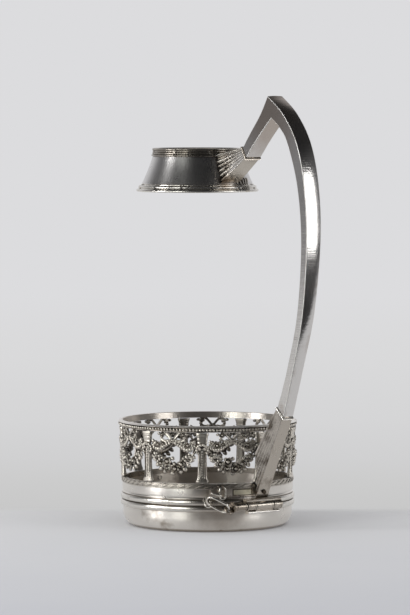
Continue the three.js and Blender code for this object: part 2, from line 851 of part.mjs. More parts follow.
// Chain: a staple on the strip, two links that hang from it, and a third on the oval ring
const stapleTurn = THREE.MathUtils.degToRad(chainAngle);
const outward = new THREE.Vector3(Math.cos(stapleTurn), Math.sin(stapleTurn), 0);
const sideways = new THREE.Vector3(Math.sin(stapleTurn), -Math.cos(stapleTurn), 0);
const upward = new THREE.Vector3(0, 0, 1);

// A direction given by its parts along outward, sideways and upward
function heading(out, aside, up) {
  return new THREE.Vector3()
    .addScaledVector(outward, out)
    .addScaledVector(sideways, aside)
    .addScaledVector(upward, up)
    .normalize();
}

const stapleFoot = outward.clone().multiplyScalar(stripOuter + seat);
stapleFoot.z = stripBottom + stripHeight / 2;
const stapleBite = 0.3; // how deep the staple's ring is let into its stud
const stapleMiddle = stapleFoot.clone().addScaledVector(outward, stapleSize / 2 + staplePost - stapleBite);
const stapleStud = new THREE.CylinderGeometry(stapleStudRadius, stapleStudRadius, staplePost, 10);
stapleStud.applyQuaternion(new THREE.Quaternion().setFromUnitVectors(new THREE.Vector3(0, 1, 0), outward));
const studMiddle = stapleFoot.clone().addScaledVector(outward, staplePost / 2);
stapleStud.translate(studMiddle.x, studMiddle.y, studMiddle.z);
place(
  "chain_staple",
  join(stapleStud, laid(oval(stapleSize, stapleSize, stapleWire), outward, upward, stapleMiddle)),
  polished,
);

// Hangs a link on the wire at hook: it lies along one direction, and across is the way of its width
function linked(name, hook, along, across, wire) {
  across.addScaledVector(along, -across.dot(along)).normalize();
  const middle = hook.clone().addScaledVector(along, linkLength / 2 - linkWire - wire / 2 - seat / 2);
  place(name, laid(oval(linkLength, linkWidth, linkWire), along, across, middle), polished);
  return middle;
}

const stapleHook = stapleMiddle.clone().addScaledVector(upward, (stapleWire - stapleSize) / 2);
const firstWay = heading(0, 0, -1);
const secondWay = heading(0.1, 0.95, 0.25);
const firstMiddle = linked("chain_link_1", stapleHook, firstWay, heading(0, 1, 0), stapleWire);
const firstEnd = firstMiddle
  .addScaledVector(firstWay, (linkLength - linkWidth) / 2)
  .addScaledVector(secondWay, (linkWidth - linkWire) / 2);
linked("chain_link_2", firstEnd, secondWay, heading(1, 0, 0), linkWire);
const ovalFar = eyePlace.clone().addScaledVector(ovalAlong, ovalLength - ovalWire);
const thirdWay = upward.clone().addScaledVector(ovalAcross, -upward.dot(ovalAcross)).normalize().negate();
const thirdAcross = new THREE.Vector3().crossVectors(thirdWay, ovalAcross);
linked("chain_link_3", ovalFar, thirdWay, thirdAcross, ovalWire);

export default holder;
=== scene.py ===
# Silver bottle holder in the Louis XVI manner, seen a little from above, with its handle to the right.
# Every length is in millimetres unless its name or comment says metres; meshes are made in metres.
import random
from functools import partial
from math import atan2, cos, pi, radians, sin

import bmesh
import bpy
from mathutils import Matrix, Vector


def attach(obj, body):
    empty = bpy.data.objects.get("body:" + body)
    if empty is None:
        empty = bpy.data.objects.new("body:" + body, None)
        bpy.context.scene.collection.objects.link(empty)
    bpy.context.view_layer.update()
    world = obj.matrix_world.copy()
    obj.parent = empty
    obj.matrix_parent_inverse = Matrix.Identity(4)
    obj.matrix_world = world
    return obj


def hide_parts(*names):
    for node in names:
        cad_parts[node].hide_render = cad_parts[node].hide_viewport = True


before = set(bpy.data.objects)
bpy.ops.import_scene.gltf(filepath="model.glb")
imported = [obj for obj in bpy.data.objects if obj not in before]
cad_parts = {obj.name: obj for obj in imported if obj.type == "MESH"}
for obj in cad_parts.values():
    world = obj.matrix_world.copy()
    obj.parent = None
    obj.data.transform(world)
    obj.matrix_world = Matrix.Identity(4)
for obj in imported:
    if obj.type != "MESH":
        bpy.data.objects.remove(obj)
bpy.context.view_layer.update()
MM = 0.001
scene = bpy.context.scene

# Camera: a long lens from 2.1 m, a little above the middle of the holder and tipped down to its foot.
# The holder stands with its handle 36.5 degrees to the right of the camera.
CAMERA_AT = (1.7045, -1.2631, 0.24536)  # metres
CAMERA_TURN = 53.5
CAMERA_DIP = 3.27276
bpy.ops.object.camera_add(location=CAMERA_AT, rotation=(radians(90 - CAMERA_DIP), 0, radians(CAMERA_TURN)))
camera = bpy.context.object
camera.data.sensor_fit = "VERTICAL"
camera.data.sensor_height = 36
camera.data.lens = 217.53
camera.data.clip_end = 20
scene.camera = camera
scene.view_settings.view_transform = "Standard"

# ways across the table, as the camera sees them
TO_CAMERA = Vector((sin(radians(CAMERA_TURN)), -cos(radians(CAMERA_TURN)), 0))
TO_RIGHT = Vector((cos(radians(CAMERA_TURN)), sin(radians(CAMERA_TURN)), 0))


# Table: a matt pale sheet of paper that ends softly just behind the holder, before a paler backdrop.
# A camera ray sees the backdrop's own tone past that line. Silver sees the sheet as far as its edges
# and then the dark floor of the room. All other rays meet a plain pale sheet.
def linear(colour):
    """An sRGB hex colour as linear red, green, blue and alpha."""
    parts = [int(colour[i : i + 2], 16) / 255 for i in (0, 2, 4)]
    return tuple(p / 12.92 if p <= 0.04045 else ((p + 0.055) / 1.055) ** 2.4 for p in parts) + (1.0,)


def add_node(tree, kind, *sources, **settings):
    """Adds a node. Sources go to its sockets in order, settings to its own fields or its sockets by name.
    A node or an output is linked, anything else is a value, and From and To are pairs of values."""
    node = tree.nodes.new("ShaderNode" + kind)
    for name, value in [*settings.items(), *enumerate(sources)]:
        socket = name.replace("_", " ") if isinstance(name, str) else name
        value = value.outputs[0] if isinstance(value, bpy.types.Node) else value
        if isinstance(name, str) and hasattr(node, name):
            setattr(node, name, value)
        elif isinstance(value, bpy.types.NodeSocket):
            tree.links.new(value, node.inputs[socket])
        elif socket in ("From", "To"):
            node.inputs[socket + " Min"].default_value, node.inputs[socket + " Max"].default_value = value
        else:
            node.inputs[socket].default_value = value
    return node


def new_material(name):
    """An empty material, and a function that adds nodes to it."""
    material = bpy.data.materials.new(name)
    material.use_nodes = True
    material.node_tree.nodes.clear()
    return material, partial(add_node, material.node_tree)


# all of these distances are in metres from the holder's axis
EDGE_BEHIND, EDGE_SOFT = 0.070, 0.012  # where the table's tone ends, seen by the camera
FRONT_EDGE, FRONT_SOFT = 0.125, 0.006  # where silver sees the sheet end, toward the camera
SIDE_EDGE, SIDE_SOFT = 1.7, 0.3  # and to either side
FRONT_SHADE_FULL, FRONT_SHADE_GONE = -0.45, 0.05  # painted shade darkens the sheet toward the camera and fades between these, going back
BACKDROP_REACH = 2.4  # the backdrop grows paler as far back as this

TABLE_TONE = linear("CDCDCF")
# the mottle's darker grey, which is also the painted shade toward the camera
MOTTLE_AND_SHADE_TONE = linear("BEBFC5")
BACKDROP_FOOT = linear("C8C8C8")
BACKDROP_TONE = linear("DCDCDE")
BACKDROP_FADE = ((0.03, "C8C8C8"), (0.10, "CCCCCC"), (0.16, "D0D0D1"), (0.28, "D5D5D6"), (0.55, "D9D9DA"))
UNSHADED_TONE = (0.58, 0.58, 0.58, 1)
UNSHADED_SHARE = 0.45
FLOOR_TONE = (1, 0.99, 1.02, 1)
FLOOR_AHEAD, FLOOR_ASIDE = 0.03, 0.19  # light of the room's floor before the table and beside it

# matt paper has no gloss at all, only a faint grey mottle some 100 mm across, and painted shade that darkens
# it toward the camera
table_sheet, add = new_material("matt_paper_table")
place = add("TexCoord").outputs["Object"]
behind = add("VectorMath", place, -TO_CAMERA, operation="DOT_PRODUCT").outputs["Value"]
# painted shade: the sheet is painted darker toward the camera, and the mottle is added on top
front_shade = add("MapRange", behind, From=(FRONT_SHADE_FULL, FRONT_SHADE_GONE), To=(0.8, -0.1))
grain = add("TexNoise", place, Scale=9, Detail=3)
mottle_and_shade = add("Math", grain, 0.25, front_shade, operation="MULTIPLY_ADD")
mottled_and_shaded = add("Mix", mottle_and_shade, data_type="RGBA", A=TABLE_TONE, B=MOTTLE_AND_SHADE_TONE).outputs["Result"]
paper = add("BsdfDiffuse", mottled_and_shaded, Roughness=0.5)

# past its back edge the camera sees the backdrop
soft = {"interpolation_type": "SMOOTHSTEP"}
past_edge = add("MapRange", behind, **soft, From=(EDGE_BEHIND - EDGE_SOFT, EDGE_BEHIND + EDGE_SOFT))
fade = add("ValToRGB", add("MapRange", behind, From=(0, BACKDROP_REACH)))
fade.color_ramp.elements[0].color = BACKDROP_FOOT
fade.color_ramp.elements[1].color = BACKDROP_TONE
for position, tone in BACKDROP_FADE:
    fade.color_ramp.elements.new(position).color = linear(tone)
glow = add("Emission", fade, Strength=1)

# past its other edges silver sees the dark floor of the room
front = (-FRONT_EDGE - FRONT_SOFT, -FRONT_EDGE + FRONT_SOFT)
in_front = add("MapRange", behind, **soft, From=front, To=(1, 0))
sideways = add("VectorMath", place, TO_RIGHT, operation="DOT_PRODUCT").outputs["Value"]
apart = add("Math", sideways, operation="ABSOLUTE")
aside = add("MapRange", apart, **soft, From=(SIDE_EDGE - SIDE_SOFT, SIDE_EDGE + SIDE_SOFT))
outside = add("Math", in_front, aside, operation="MAXIMUM")
floor_light = add("MapRange", aside, To=(FLOOR_AHEAD, FLOOR_ASIDE))
room_floor = add("Emission", FLOOR_TONE, floor_light)

# silver sees the sheet under it partly without the holder's own shade
rays = add("LightPath").outputs
unshaded = add("Emission", Color=UNSHADED_TONE, Strength=1)
lifted = add("Math", rays["Is Glossy Ray"], UNSHADED_SHARE, operation="MULTIPLY")
sheet = add("MixShader", lifted, paper, unshaded)
seen = add("Math", rays["Is Camera Ray"], rays["Is Glossy Ray"], operation="MAXIMUM")
top = add("MixShader", add("Math", seen, past_edge, operation="MULTIPLY"), sheet, glow)
off_table = add("Math", rays["Is Glossy Ray"], outside, operation="MULTIPLY")
add("OutputMaterial", add("MixShader", off_table, top, room_floor))


def fresh(name, primitive_add, **sizes):
    """Adds a primitive, with nothing else selected."""
    bpy.ops.object.select_all(action="DESELECT")
    primitive_add(**sizes)
    bpy.context.object.name = name
    return bpy.context.object


TABLE_SIZE = 16  # metres
TABLE_GAP = 0.05  # under the foot of the holder
table = fresh("table", bpy.ops.mesh.primitive_plane_add, size=TABLE_SIZE, location=(0, 0, -TABLE_GAP * MM))
bpy.ops.object.transform_apply(location=True)
table.data.materials.append(table_sheet)

# Light: three soft boxes stand in a dim room with a dark ceiling, two to the left and one to the
# right. Silver shows them as the upright streaks on the dish and the white length of the handle.
ROOM_BACK = (0.08, 0.08, 0.085, 1)  # the room behind the camera
ROOM_GREYS = ((0.35, 0.10), (0.5, 0.16), (0.66, 0.21), (0.74, 0.34), (0.85, 0.62))  # and on round it
ROOM_BLUE = 1.03  # blue in those greys, as a share of red
ROOM_FILL = (0.78, 0.78, 0.78, 1)  # what matt surfaces are lit by
world = bpy.data.worlds.new("dim_studio")
scene.world = world
world.use_nodes = True
world.node_tree.nodes.clear()
add = partial(add_node, world.node_tree)
way = add("TexCoord").outputs["Generated"]
facing = add("VectorMath", way, -TO_CAMERA, operation="DOT_PRODUCT").outputs["Value"]
room = add("ValToRGB", add("MapRange", facing, From=(-1, 1)))
room.color_ramp.elements[0].color = ROOM_BACK
room.color_ramp.elements[1].color = BACKDROP_TONE
for position, grey in ROOM_GREYS:
    room.color_ramp.elements.new(position).color = (grey, grey, grey * ROOM_BLUE, 1)
height = add("SeparateXYZ", way).outputs["Z"]
ceiling = add("MapRange", height, **soft, From=(0.12, 0.62), To=(1.0, 0.10))
# the backdrop rises behind the holder, so that only the room's own ceiling is dark
risen = add("MapRange", facing, **soft, From=(0.5, 0.8))
lit = add("Math", ceiling, risen, operation="MAXIMUM")
dimmed = add("VectorMath", room, operation="SCALE", Scale=lit)
rays = add("LightPath").outputs
plain = add("Mix", rays["Is Glossy Ray"], data_type="RGBA", A=ROOM_FILL, B=dimmed).outputs["Result"]
backdrop = add("Mix", rays["Is Camera Ray"], data_type="RGBA", A=plain, B=BACKDROP_TONE).outputs["Result"]
add("OutputWorld", add("Background", backdrop, Strength=1))


def soft_box(name, bearing, distance, low, high, width, watts, tone="FFFFFF"):
    """An upright lamp, sized in metres, at a bearing from the camera, positive to the right."""
    turn = radians(bearing)
    stand = (TO_CAMERA * cos(turn) + TO_RIGHT * sin(turn)) * distance
    lamp = bpy.data.lights.new(name, "AREA")
    lamp.shape = "RECTANGLE"
    lamp.size = width
    lamp.size_y = high - low
    lamp.energy = watts
    lamp.color = linear(tone)[:3]
    box = bpy.data.objects.new(name, lamp)
    scene.collection.objects.link(box)
    box.location = stand + Vector((0, 0, (low + high) / 2))
    box.rotation_euler = (-stand).to_track_quat("-Z", "Y").to_euler()


soft_box("left_strip", -72, 1.0, 0.0, 0.6, 0.20, 3.4)
soft_box("left_box", -38, 1.15, 0.0, 0.6, 0.46, 2.8, "FDFFFB")
soft_box("right_box", 63, 0.95, 0.05, 0.50, 0.42, 1.8)


# Dish: the lower half of the holder, spun from sheet silver on the lathe, flat beneath with a rounded
# corner. It holds the foot of the bottle and carries its half of the hinge.
def turned(name, section, steps=180, smooth=35):
    """Spins a closed section of (radius, height) points round the axis of the dish."""
    piece = fresh(name, bpy.ops.mesh.primitive_circle_add, vertices=len(section), radius=MM)
    for corner, (r, z) in zip(piece.data.vertices, section):
        corner.co = (r * MM, 0, z * MM)
    bpy.ops.object.mode_set(mode="EDIT")
    bpy.ops.mesh.select_all(action="SELECT")
    bpy.ops.mesh.spin(steps=steps, angle=2 * pi, center=(0, 0, 0), axis=(0, 0, 1))
    close_up(piece, smooth)
    return piece


def close_up(piece, smooth):
    """Merges doubled points, turns all faces outward and leaves edit mode."""
    bpy.ops.mesh.select_all(action="SELECT")
    bpy.ops.mesh.remove_doubles(threshold=0.00001)
    bpy.ops.mesh.delete_loose()
    bpy.ops.mesh.select_all(action="SELECT")
    bpy.ops.mesh.normals_make_consistent(inside=False)
    bpy.ops.object.mode_set(mode="OBJECT")
    bpy.ops.object.shade_smooth_by_angle(angle=radians(smooth))


def arc(r, z, wide, high, start, end, steps):
    """Points on an ellipse about (r, z), from one angle to another in degrees."""
    turns = [radians(start + (end - start) * i / steps) for i in range(steps + 1)]
    return [(r + wide * cos(a), z + high * sin(a)) for a in turns]


# place, reach and depth of the brown stains: round the hinge pin and its chain, at the foot of the
# collar's gusset and over the mitre of the handle
STAINS = (((46.0, -26.0, 19.5), 27, 0.62), ((22.5, -4.0, 197.0), 7, 0.9), ((62.0, 0.0, 238.0), 40, 0.7))
HOLLOW = 2.2  # cloths don't reach into hollows narrower than this


def silver(
    name,
    clean,
    tarnish,
    rough,
    scratches=0.0,  # height of the hairlines
    hollows=0.0,  # depth of the tarnish in hollows
    cloud=90.0,  # clouds of tarnish to the metre
    spread=0.5,  # lower for more and wider clouds
    grain=0.0,  # how far the lathe's grooves stretch a highlight
    back_shade=0.0,  # depth of the painted shade on faces toward the axis
    stains=STAINS,
):
    """Silver with clouds of tarnish, dark hollows, brown stains, painted shade on inward faces, fine lines
    across Z and hairlines.
    """
    material, add = new_material(name)
    place = add("TexCoord").outputs["Object"]
    clouds = add("TexNoise", place, Scale=cloud, Detail=6, Roughness=0.62)
    shade = add("MapRange", clouds, From=(spread, 0.8))
    if hollows:
        deep = add("AmbientOcclusion", Distance=HOLLOW * MM, samples=8).outputs["AO"]
        dark = add("MapRange", deep, **soft, From=(0.25, 0.95), To=(hollows, 0.0))
        shade = add("Math", shade, dark, operation="ADD", use_clamp=True)
    for middle, reach, depth in stains:
        # the clouds make each stain's edge ragged
        off = add("VectorMath", place, Vector(middle) * MM, operation="DISTANCE").outputs["Value"]
        ragged = add("Math", off, -1 / (reach * MM), clouds, operation="MULTIPLY_ADD")
        brown = add("MapRange", ragged, **soft, From=(-0.6, 0.3), To=(0, depth))
        shade = add("Math", shade, brown, operation="MAXIMUM")
    if back_shade:
        # painted shade: faces toward the axis are darkened, as if they lay in shade
        radial = add("VectorMath", place, (1, 1, 0), operation="MULTIPLY")
        outward = add("VectorMath", radial, operation="NORMALIZE")
        normal = add("NewGeometry").outputs["Normal"]
        facing = add("VectorMath", outward, normal, operation="DOT_PRODUCT").outputs["Value"]
        inner = add("MapRange", facing, From=(0.1, -0.4), To=(0, back_shade))
        shade = add("Math", shade, inner, operation="MAXIMUM")
    colour = add("Mix", shade, data_type="RGBA", A=linear(clean), B=linear(tarnish)).outputs["Result"]
    # the lathe's lines are 0.25 mm apart, drawn twice as coarse so that they show
    lines = add("TexNoise", add("Mapping", place, Scale=(4, 4, 2000)), Scale=1, Detail=2)
    # hairlines from cloths, about 4 mm long and drawn 0.4 mm wide so that they show, break up the lines
    scuffed = add("Mapping", place, Scale=(2600, 220, 260), Rotation=(0.5, 0.3, 0.8))
    hairs = add("TexNoise", scuffed, Scale=1, Detail=3)
    deeper = add("Math", hairs, scratches, operation="MULTIPLY")
    relief = add("Math", lines, hairs, deeper, operation="MULTIPLY_ADD")
    bump = add("Bump", Height=relief, Distance=0.12 * MM, Strength=0.5)
    # tarnished silver is half as rough again as clean silver
    gloss = add("MapRange", clouds, From=(0.35, 0.75), To=(rough, rough * 1.5))
    metal = add("BsdfPrincipled", Base_Color=colour, Roughness=gloss, Normal=bump, Metallic=1.0)
    if grain:
        # turning leaves grooves round the axis, so that highlights spread up and down
        round_axis = add("Tangent", direction_type="RADIAL", axis="Z")
        material.node_tree.links.new(round_axis.outputs[0], metal.inputs["Tangent"])
        metal.inputs["Anisotropic"].default_value = grain
        metal.inputs["Anisotropic Rotation"].default_value = 0.25
    add("OutputMaterial", metal)
    return material


def finish(piece, material, slot, *nodes, body="frame"):
    """Dresses a piece, fixes it to its body and lets it stand for its CAD nodes."""
    piece.data.materials.append(material)
    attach(piece, body)
    if nodes:
        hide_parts(*nodes)


# satin silver off the lathe: a soft shine stretched up and down, yellowed in clouds, brown in corners,
# and painted shade on faces toward the axis
satin_silver = silver(
    "satin_sterling_silver", "F2EDE6", "7C6952", 0.26, scratches=0.4, hollows=0.8, cloud=60, spread=0.6,
    grain=0.7, back_shade=0.35
)

WALL = 48.3
INSIDE = 47.0
dish_section = [(0, 0), (41.2, 0)]
dish_section += arc(41.8, 8.1, WALL - 41.8, 8.0, -86, 0, 14)
dish_section += [(WALL, 15.1), (WALL - 0.15, 15.2), (INSIDE + 0.1, 15.2), (INSIDE, 15.0)]
dish_section += arc(40.5, 9.4, INSIDE - 40.5, 8.0, 0, -90, 10)
dish_section += [(0, 1.4)]
finish(turned("dish", dish_section), satin_silver, "satin_silver", "base_dish", body="dish")

# Reeds: half-round silver wire, drawn to shape and soldered round the dish and round the band, one on
# each side of the split between them.
SPLIT = 15.25
REED = 1.62

# polished silver: sharper lights than the satin, fine hairlines, and brown along its edges
polished_silver = silver(
    "polished_sterling_silver", "EEEAE3", "6F5E4A", 0.2, scratches=0.4, hollows=0.7, spread=0.6
)


def reed_arc(z):
    """The outline of a flattened reed about the height z, from its lower to its upper edge."""
    turns = [radians(-90 + 180 * i / 20) for i in range(21)]
    bulge = [(cos(a) ** 0.6 if cos(a) > 0.001 else 0, sin(a)) for a in turns]
    return [(WALL + 0.15 + 1.33 * x, z + REED * (abs(y) ** 0.85) * (1 if y > 0 else -1)) for x, y in bulge]


lower_reed = reed_arc(SPLIT - 0.18 - REED) + [(WALL - 0.3, SPLIT - 0.3), (WALL - 0.3, 11.9)]
upper_reed = reed_arc(SPLIT + 0.18 + REED) + [(WALL - 0.3, 18.6), (WALL - 0.3, SPLIT + 0.3)]
finish(turned("dish_wire", lower_reed), polished_silver, "polished_silver", "dish_reed", body="dish")
finish(turned("band_wire", upper_reed), polished_silver, "polished_silver", "band_reed")

# Band: the upper half of the cylinder, rolled from sheet silver and turned true, with a shallow step
# at its foot and a chased line round it. It carries the gallery and the foot of the handle.
FACE = WALL + 0.5
band_section = [(INSIDE, 15.5), (WALL, 15.5), (WALL, 18.8), (FACE - 0.1, 18.95), (FACE, 19.15)]
band_section += [(FACE, 19.5), (WALL + 0.2, 20.05), (FACE - 0.05, 20.75), (FACE, 21.0)]
band_section += [(FACE, 24.7), (INSIDE, 24.7)]
finish(turned("band_sheet", band_section, smooth=25), satin_silver, "satin_silver", "band")


# Bare panel: a small plate of silver between the chain and the foot of the handle, let into the band
# and left bare. A dark line of old dirt fills the joint round it.
def drawn(name, sections, smooth=30):
    """Draws a section as a ring of points, extrudes it from place to place and closes its ends."""
    piece = fresh(name, bpy.ops.mesh.primitive_circle_add, vertices=len(sections[0]), radius=MM)
    bpy.ops.object.mode_set(mode="EDIT")
    mesh = bmesh.from_edit_mesh(piece.data)
    for i, section in enumerate(sections):
        if i:
            bpy.ops.mesh.extrude_edges_move()
            mesh = bmesh.from_edit_mesh(piece.data)
        ring = [v for v in mesh.verts if v.select]
        for corner, point in zip(ring, section):
            corner.co = Vector(point) * MM
        bmesh.update_edit_mesh(piece.data)
    bpy.ops.mesh.select_all(action="DESELECT")
    bpy.ops.mesh.select_non_manifold()
    bpy.ops.mesh.edge_face_add()
    bpy.ops.mesh.fill_holes(sides=0)
    close_up(piece, smooth)
    return piece


PANEL_BACK = 48.5


def curved_plate(name, start, end, low, high, outer):
    """A plate bent round the axis between two bearings in degrees."""
    sections = []
    for i in range(9):
        turn = radians(start + (end - start) * i / 8)
        corners = ((PANEL_BACK, low), (outer, low), (outer, high), (PANEL_BACK, high))
        sections.append([(r * cos(turn), r * sin(turn), z) for r, z in corners])
    return drawn(name, sections, smooth=25)


# silver under old dirt: nearly black, with hardly a shine
grimy_silver = silver("grimy_sterling_silver", "5A5046", "1E1814", 0.45, hollows=1.0)
finish(curved_plate("panel_edge", -19.9, -5.9, 20.9, 24.6, 48.95), grimy_silver, "satin_silver")
# stained silver: a yellowish bloom with close dark specks, where polish has dried
stained_silver = silver(
    "stained_silver_panel", "C9C2AC", "6B6350", 0.3, scratches=0.8, hollows=1.0, cloud=240, stains=()
)
finish(curved_plate("bare_panel", -19.2, -6.6, 21.4, 24.15, 49.12), stained_silver, "satin_silver")

# Collar: a flared cone of sheet silver that drops over the neck and shoulder of the bottle. Drawn wires
# make its reeded skirt and lip, crossed by narrow ribbons, and are soldered on.
COLLAR_AT = -9.8
CONE_FOOT = 195.1
CONE_HIGH = 16.2


def cone_wall(t):
    """The cone's outer radius, part t of the way up its slightly hollow side."""
    return 31.6 - 6.3 * t - 1.5 * t * (1 - t)


def on_neck(piece):
    """Moves a spun piece from the axis of the dish to the collar's."""
    piece.data.transform(Matrix.Translation((COLLAR_AT * MM, 0, 0)))
    return piece


# satin silver of the cone: greyer and cooler than the dish, with wide, faint clouds and upright lights
satin_cone = silver(
    "satin_collar_silver", "D8D6D4", "857C74", 0.25, scratches=0.2, hollows=0.9, cloud=30, spread=0.62,
    grain=0.5
)
cone_section = [(30.6, 194.9), (31.7, 194.9)]
cone_section += [(cone_wall(t), CONE_FOOT + CONE_HIGH * t) for t in (0.12, 0.25, 0.4, 0.55, 0.7, 0.85, 1)]
cone_section += [(24.3, 211.3), (27.6, 203.2)]
cone = on_neck(turned("collar_cone", cone_section))
finish(cone, satin_cone, "satin_silver", "neck_collar")


def crossing(profile, bearing, slant, half, proud=0.15):
    """A narrow ribbon over a reeded profile of (r, z) points, slanting as it goes up."""
    sections = []
    for i, (r, z) in enumerate(profile):
        turn = radians(bearing) + slant * (i / (len(profile) - 1) - 0.5)
        out, side = Vector((cos(turn), sin(turn), 0)), Vector((-sin(turn), cos(turn), 0))
        middle = Vector((COLLAR_AT, 0, z))
        foot, shoulder = r - 0.4, r + (proud - 0.1)
        corners = ((foot, -half), (shoulder, -half), (r + proud, 0), (shoulder, half), (foot, half))
        sections.append([middle + out * a + side * b for a, b in corners])
    return drawn("ribbon_tie", sections, smooth=60)


def joined(pieces):
    """Joins pieces to the first of them."""
    bpy.ops.object.select_all(action="DESELECT")
    for piece in pieces:
        piece.select_set(True)
    bpy.context.view_layer.objects.active = pieces[0]
    bpy.ops.object.join()
    return bpy.context.object


def bound(piece, profile, bearings, slant, half):
    """Joins crossed ribbons to a reeded ring at the given bearings."""
    ribbons = [crossing(profile, bearing, way, half) for bearing in bearings for way in (-slant, slant)]
    return joined([piece] + ribbons)


skirt_section = [(30.6, 191.6), (33.6, 190.2)] + arc(34.3, 191.0, 0.75, 0.75, -90, 80, 7)
skirt_section += arc(32.9, 193.0, 0.95, 0.95, -35, 80, 7) + arc(31.5, 194.4, 0.65, 0.55, -20, 90, 5)
skirt_section += [(30.6, 194.95)]
over_skirt = [(33.7, 190.2), (34.9, 190.6), (35.0, 191.3), (34.2, 192.0), (33.9, 192.8)]
over_skirt += [(33.5, 193.7), (32.4, 194.3), (31.9, 194.9)]
skirt = on_neck(turned("collar_skirt_reeds", skirt_section))
skirt = bound(skirt, over_skirt, [-22 + 30 * k for k in range(12)], 0.07, 0.45)
finish(skirt, polished_silver, "polished_silver", "collar_skirt")

# chased silver: bright where cloths reach, dark brown between the forms, and painted shade on faces toward
# the axis
chased_silver = silver(
    "chased_sterling_silver", "E2DBD0", "2A221B", 0.26, scratches=0.4, hollows=1.0, cloud=260, spread=0.6,
    back_shade=0.65
)
# a cast sprig of five leaves lies over the reeds beside the gusset and climbs a little way up the cone
SPRIG_BEARING = 18.5
over_leaves = [(r - 0.1, z) for r, z in over_skirt] + [(31.6, 195.8), (31.2, 197.2), (30.5, 198.4)]
leaves = []
for k in (-2, -1, 0, 1, 2):
    leaves.append(crossing(over_leaves, SPRIG_BEARING + 3 * k, 0.09 * k, 0.55, 0.55 - 0.1 * abs(k)))
finish(joined(leaves), chased_silver, "chased_silver")

# smoked silver: the lip is rarely wiped and has gone grey, almost black between its reeds
smoked_silver = silver(
    "smoked_sterling_silver", "B7B0A6", "3A312A", 0.2, scratches=0.3, hollows=1.0, cloud=120, spread=0.52
)
lip_section = [(24.6, 210.9), (25.6, 210.5)] + arc(25.9, 210.95, 0.5, 0.5, -60, 70, 5)
lip_section += arc(25.35, 212.1, 0.6, 0.66, -60, 60, 6) + arc(25.0, 213.3, 0.75, 0.6, -50, 50, 5)
lip_section += arc(25.2, 214.4, 0.78, 0.66, -60, 90, 7) + [(24.5, 215.05), (24.3, 214.8)]
over_lip = [(25.6, 211.3), (25.95, 212.1), (25.7, 212.8), (25.8, 213.4), (25.7, 213.9), (26.0, 214.4)]
over_lip += [(25.6, 214.9)]
lip = on_neck(turned("collar_lip_reeds", lip_section))
lip = bound(lip, over_lip, [-22 + 45 * k for k in range(8)], 0.08, 0.3)
finish(lip, smoked_silver, "polished_silver", "collar_lip")

# Rim of the gallery: a flat silver wire, bent to a ring and soldered on the capitals. Its lip stands
# out over the row of beads.
RIM_LOW = 56.7
RIM_TOP = 60.3
rim_section = [(48.3, RIM_LOW), (50.0, RIM_LOW), (50.1, 56.9), (50.0, 57.1), (49.5, 57.15), (49.5, 59.2)]
rim_section += [(51.15, 59.3), (51.2, 59.45), (50.1, 60.2), (49.7, RIM_TOP), (48.95, RIM_TOP), (48.6, 60.1)]
finish(turned("rim_wire", rim_section, smooth=30), satin_silver, "polished_silver", "gallery_rim")

# Beads: a row of small round beads, struck from a strip of silver and soldered under the rim's lip.
# Dirt keeps the gaps between them dark.
BEADS = 166
BEAD_SIZE = 0.92  # radius
BEAD_AT = (50.25 * MM, 0, 58.15 * MM)
beads = fresh("beads", bpy.ops.mesh.primitive_uv_sphere_add, segments=8, ring_count=6, radius=BEAD_SIZE * MM)
beads.data.transform(Matrix.Translation(BEAD_AT))
bpy.ops.object.shade_smooth()


def repeat_round(piece, count):
    """Copies a piece round the axis of the dish, count in all, into the same mesh."""
    bpy.ops.object.empty_add(rotation=(0, 0, 2 * pi / count))
    step = bpy.context.object
    copies = piece.modifiers.new("copies", "ARRAY")
    copies.count = count
    copies.use_relative_offset = False
    copies.use_object_offset = True
    copies.offset_object = step
    bpy.context.view_layer.objects.active = piece
    bpy.ops.object.select_all(action="DESELECT")
    piece.select_set(True)
    bpy.ops.object.modifier_apply(modifier="copies")
    bpy.data.objects.remove(step)


repeat_round(beads, BEADS)
finish(beads, chased_silver, "polished_silver", "bead_row")

# Columns: nine, cast half-flat in silver and soldered between strip and rim. Each has a plinth, a fluted
# shaft that swells at the foot, a string of pearls down it, a tie of leaves and a stepped capital.
BAYS = 9
COLUMN_FOOT = 28.1
COLUMN_TOP = 56.4
COLUMN_RING = 48.1
LEAN = 1.1 / (COLUMN_TOP - COLUMN_FOOT)  # of the columns, outward to the rim
FLAT = 0.42  # depth as a share of width
FLUTED = 0.28  # depth of the shaft's panel, whose side grooves are twice as deep
COLUMN_POINTS = 44


def column_ring(width, z, sunk=0.0):
    """A flattened oval, with a panel and a groove to each side of it sunk into its front."""
    ring = []
    for i in range(COLUMN_POINTS):
        turn = 2 * pi * i / COLUMN_POINTS
        across = sin(turn)
        out = FLAT * width / 2 * (1 - across**4) ** 0.5 * (1 if cos(turn) > 0 else -1)
        if cos(turn) > 0 and abs(across) < 0.7:
            out -= sunk * (2 if abs(across) > 0.45 else 1)
        ring.append((out, width / 2 * across, z))
    return ring


# widths and heights, going up
plinth = [(7.2, 28.1), (7.4, 28.25), (7.4, 29.5), (7.2, 29.65), (6.5, 29.8), (6.5, 30.1), (6.3, 30.4)]
shaft = [(6.1, 30.6), (5.65, 31.5), (5.35, 33), (5.2, 36), (4.9, 44), (4.7, 50.0)]
capital = [(4.9, 50.2), (5.6, 50.4), (5.7, 50.8), (5.5, 51.1), (5.4, 51.5), (5.6, 52.2), (6.0, 52.7)]
capital += [(6.1, 53.1), (5.9, 53.3), (5.9, 53.7), (6.3, 54.2), (6.5, 54.6), (6.3, 54.75), (6.5, 54.95)]
capital += [(7.1, 55.1), (7.2, 56.2), (7.0, 56.4)]
column_rings = [column_ring(*step) for step in plinth]
column_rings += [column_ring(*step, FLUTED) for step in shaft]
column_rings += [column_ring(*step) for step in capital]
column = drawn("column", column_rings, smooth=32)


